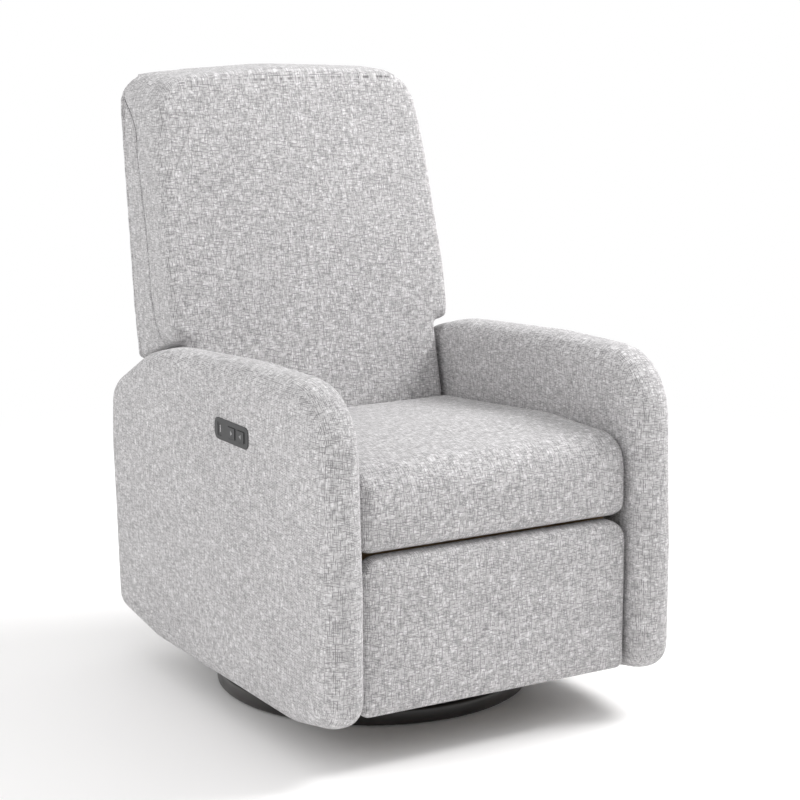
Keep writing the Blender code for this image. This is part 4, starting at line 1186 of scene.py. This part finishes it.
@dataclass
class Back:
    """The T-shaped back: a padded front sewn to a side strip, and the covered board behind it."""

    padding: Padding = field(default_factory=lambda: Padding(0.008, 0.002, 4.0, 0.003))
    board_padding: Padding = field(
        default_factory=lambda: Padding(0.006, 0.0012, 2.0, 0.0015, fill=0.95)
    )
    seam_inset: float = 0.100
    seam_lean: float = -0.0234
    seam_bend: float = 7.8
    seam_top: float = 0.127
    seam_foot: float = 0.040
    seam_end: float = 0.004
    lean_drop: float = 0.15
    wing_drop: float = 0.028
    gauge_x: float = 0.200
    gauge_shares: tuple[float, float] = (0.35, 0.70)
    held_from: float = 0.055
    held_to: float = 0.110

    def build(self, paints: Paints) -> list[bpy.types.Object]:
        """Builds the padded front and the outside back.

        Args:
            paints: the finishes.

        Returns:
            The two pieces.
        """
        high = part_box("back_cushion")[1]
        post_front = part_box("back_post_left")[0].y
        cover = PaddedPiece(
            "back_cover",
            "back_cushion",
            "back",
            self.padding,
            WeaveChart.from_node("back_cushion", 0.250, 3.29),
            [Seam(self._seam_sheet(high.z))],
            still=lambda points: self._free(points, post_front),
        )
        board = PaddedPiece(
            "outside_back_cover",
            "back_panel",
            "back",
            self.board_padding,
            WeaveChart.from_node("back_panel", SLICE_X, 4.73),
        )
        return [
            cover.build(solid_of("back_cushion"), paints),
            board.build(solid_of("back_panel"), paints),
        ]

    def _lean(self) -> tuple[float, float]:
        """Reads the front's lean from the frame.

        Returns:
            Where the front stands at floor height and how far it moves back per metre up.
        """
        graph = bpy.context.evaluated_depsgraph_get()
        tree = BVHTree.FromObject(frame["nodes"]["back_cushion"], graph)
        low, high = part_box("back_cushion")
        found = []
        for share in self.gauge_shares:
            z = low.z + share * (high.z - low.z)
            spot = tree.ray_cast(Vector((self.gauge_x, -1.0, z)), Vector((0, 1, 0)))[0]
            found.append((spot.z, spot.y))
        slope = (found[1][1] - found[0][1]) / (found[1][0] - found[0][0])
        return found[0][1] - slope * found[0][0], slope

    def _seam_sheet(self, high_z: float) -> Callable[[np.ndarray], np.ndarray]:
        """The sheet on which the seam between the front and the side strip lies.

        Args:
            high_z: the cushion's highest point.

        Returns:
            A function that gives each point's distance from the sheet.
        """
        base, slope = self._lean()
        wing_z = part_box("arm_left")[1].z - self.wing_drop

        def away(points: np.ndarray) -> np.ndarray:
            z = points[:, 2]
            above = np.maximum(z - (high_z - self.seam_top), 0.0)
            below = np.maximum(wing_z + self.seam_foot - z, 0.0)
            lean = self.seam_lean * (high_z - self.lean_drop - z)
            sheet = base + slope * z + self.seam_inset + lean
            sheet += self.seam_bend * (above**2 - below**2)
            sheet = np.where(z < wing_z - self.seam_end, FAR, sheet)
            return (points[:, 1] - sheet) / math.hypot(1.0, slope)

        return away

    def _free(self, points: np.ndarray, post_front: float) -> np.ndarray:
        """How far each point of the cushion may swell: not at all round the posts behind it.

        Args:
            points: the cushion's points.
            post_front: the foremost place of the posts.

        Returns:
            The share of the movement that each point keeps.
        """
        base, slope = self._lean()
        depth = points[:, 1] - base - slope * points[:, 2]
        return 1.0 - smooth_step(depth, self.held_from, self.held_to)


@dataclass
class FloorRing:
    """The painted steel ring that the chair stands on."""

    turns: int = 160
    corner: float = 0.0070
    corner_steps: int = 4

    def build(self, paints: Paints) -> list[bpy.types.Object]:
        """Spins the ring from its section.

        Args:
            paints: the finishes.

        Returns:
            The piece, in a list.
        """
        low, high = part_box("base_ring")
        spots = points_of(frame["nodes"]["base_ring"].data)
        inner = float(np.hypot(spots[:, 0], spots[:, 1]).min())
        shape = bmesh.new()
        corners = [(inner, low.z), (high.x, low.z), (high.x, high.z), (inner, high.z)]
        shape.faces.new([shape.verts.new((x, 0, z)) for x, z in corners])
        round_off(shape, shape.verts[:], self.corner, self.corner_steps, "VERTICES")
        bmesh.ops.delete(shape, geom=shape.faces[:], context="FACES_ONLY")
        bmesh.ops.spin(
            shape,
            geom=[*shape.verts, *shape.edges],
            cent=(0, 0, 0),
            axis=(0, 0, 1),
            angle=2 * math.pi,
            steps=self.turns,
            use_merge=True,
            use_normal_flip=False,
        )
        bmesh.ops.remove_doubles(shape, verts=shape.verts, dist=1e-5)
        bmesh.ops.recalc_face_normals(shape, faces=shape.faces)
        made = new_piece("floor_ring", shape)
        made.data.materials.append(paints(Slot.BLACK_STEEL))
        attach(made, "base")
        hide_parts("base_ring")
        return [made]


@dataclass
class ControlPanel:
    """The marks on the panel's two buttons and the socket's tongue."""

    mark_size: float = 0.0048
    mark_rise: float = 0.00015
    tongue_size: Rgb = (0.011, 0.0019, 0.0110)
    tongue_depth: float = 0.0075
    tongue_aside: float = 0.0010
    tongue_round: float = 0.0003

    def build(self, paints: Paints) -> list[bpy.types.Object]:
        """Builds the panel's added pieces.

        Args:
            paints: the finishes; not used.

        Returns:
            The pieces.
        """
        pale = MouldedPlastic("mark_plastic", (0.23, 0.23, 0.235), (0.30, 0.30, 0.305)).material()
        return [
            self._mark("button_recline", 1.0, pale),
            self._mark("button_return", -1.0, pale),
            self._tongue(),
        ]

    def _mark(self, button: str, way: float, finish: bpy.types.Material) -> bpy.types.Object:
        """Builds the raised arrow on a button.

        Args:
            button: the button's node and body.
            way: 1 for an arrow towards the rear, -1 for one towards the front.
            finish: the mark's material.

        Returns:
            The piece.
        """
        low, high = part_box(button)
        middle = (low + high) / 2
        shape = bmesh.new()
        bmesh.ops.create_circle(shape, cap_ends=True, radius=self.mark_size, segments=3)
        aim = Matrix.Rotation(math.radians(90 - 90 * way), 4, "Z")
        bmesh.ops.transform(
            shape, matrix=Matrix.Rotation(math.radians(90), 4, "Y") @ aim, verts=shape.verts
        )
        place = (low.x + self.mark_rise / 2, middle.y, middle.z)
        bmesh.ops.translate(shape, vec=place, verts=shape.verts)
        draw_out(shape, -self.mark_rise * 1.5)
        made = new_piece(f"{button}_mark", shape)
        made.data.set_sharp_from_angle(angle=math.radians(30))
        made.data.materials.append(finish)
        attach(made, button)
        return made

    def _tongue(self) -> bpy.types.Object:
        """Builds the contact tongue inside the charging socket.

        Returns:
            The piece.
        """
        low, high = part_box("usb_socket")
        middle = (low + high) / 2
        shape = bmesh.new()
        bmesh.ops.create_cube(shape, size=1.0)
        bmesh.ops.scale(shape, vec=self.tongue_size, verts=shape.verts)
        place = (low.x + self.tongue_depth, middle.y + self.tongue_aside, middle.z)
        bmesh.ops.translate(shape, vec=place, verts=shape.verts)
        round_off(shape, shape.edges[:], self.tongue_round, 2)
        made = new_piece("usb_tongue", shape)
        finish = MouldedPlastic("tongue_plastic", (0.26, 0.26, 0.27), (0.32, 0.32, 0.33))
        made.data.materials.append(finish.material())
        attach(made, "carriage")
        return made


@dataclass
class Mechanism:
    """Everything whose shape the frame already has: it only gets its finish."""

    def build(self, paints: Paints) -> list[bpy.types.Object]:
        """Finishes every frame node by its slot.

        Args:
            paints: the finishes.

        Returns:
            The frame's nodes that were finished.
        """
        done = []
        for row in frame["record"]["subparts"]:
            node = frame["nodes"][row["node"]]
            if not node.material_slots:
                node.data.materials.append(None)
            for held in node.material_slots:
                held.material = paints(Slot(row["material_slot"]))
            done.append(node)
        return done


# ---- studio


@dataclass
class Lamp:
    """One soft box of the studio."""

    name: str
    place: Rgb
    target: Rgb
    size: float
    power: float

    def build(self) -> None:
        """Hangs the lamp and points it at its target."""
        data = bpy.data.lights.new(self.name, "AREA")
        data.shape = "DISK"
        data.size = self.size
        data.energy = self.power
        lamp = bpy.data.objects.new(self.name, data)
        lamp.location = self.place
        aim = Vector(self.target) - Vector(self.place)
        lamp.rotation_euler = aim.to_track_quat("-Z", "Y").to_euler()
        bpy.context.scene.collection.objects.link(lamp)


@dataclass
class Studio:
    """The white studio: floor, sky, lamps and camera."""

    eye: Rgb = (-1.9625, -3.3639, 1.3134)
    gaze: Rgb = (0.5047, 0.8401, -0.1991)
    lens: float = 98.5
    floor_half: float = 30.0
    sky: float = 1.0
    front_shade: float = 0.76
    lamps: tuple[Lamp, ...] = (
        Lamp("key", (2.5, -0.7, 3.0), (0.0, 0.0, 0.5), 1.6, 118.0),
        Lamp("fill", (-3.6, -0.6, 1.8), (0.0, 0.0, 0.5), 2.2, 30.0),
    )

    def build(self) -> None:
        """Builds the studio."""
        self._camera()
        self._floor()
        self._sky()
        for lamp in self.lamps:
            lamp.build()

    def _camera(self) -> None:
        """Sets the camera."""
        data = bpy.data.cameras.new("camera")
        data.lens = self.lens
        data.sensor_width = 36.0
        data.clip_end = 100.0
        camera = bpy.data.objects.new("camera", data)
        camera.location = self.eye
        camera.rotation_euler = Vector(self.gaze).to_track_quat("-Z", "Y").to_euler()
        bpy.context.scene.collection.objects.link(camera)
        bpy.context.scene.camera = camera

    def _floor(self) -> None:
        """Lays the floor."""
        shape = bmesh.new()
        bmesh.ops.create_grid(shape, x_segments=4, y_segments=4, size=self.floor_half)
        floor = new_piece("studio_floor", shape)
        floor.data.materials.append(PaleFloor().material())

    def _sky(self) -> None:
        """Lights the room from all round, dimmer from in front of the chair."""
        world = bpy.data.worlds.new("studio_sky")
        world.use_nodes = True
        tree = world.node_tree
        parts = tree.nodes.new("ShaderNodeSeparateXYZ")
        tree.links.new(tree.nodes.new("ShaderNodeTexCoord").outputs["Generated"], parts.inputs[0])
        shade = tree.nodes.new("ShaderNodeMapRange")
        tree.links.new(parts.outputs[1], shade.inputs["Value"])
        shade.inputs["From Min"].default_value = -1.0
        shade.inputs["From Max"].default_value = -0.1
        shade.inputs["To Min"].default_value = self.front_shade * self.sky
        shade.inputs["To Max"].default_value = self.sky
        tree.links.new(shade.outputs["Result"], tree.nodes["Background"].inputs["Strength"])
        tree.nodes["Background"].inputs["Color"].default_value = (1.0, 1.0, 1.0, 1.0)
        bpy.context.scene.world = world
        bpy.context.scene.view_settings.view_transform = "Standard"


def main() -> None:
    """Builds the chair's looks and the studio, in order."""
    logging.basicConfig(level=logging.INFO, format="%(name)s: %(message)s")
    paints = Paints()
    Studio().build()
    for part in (Mechanism(), Seat(), Arms(), Footrest(), Back(), FloorRing(), ControlPanel()):
        for made in part.build(paints):
            LOG.info("%s: %s is in place", type(part).__name__, made.name)


if __name__ == "__main__":
    main()
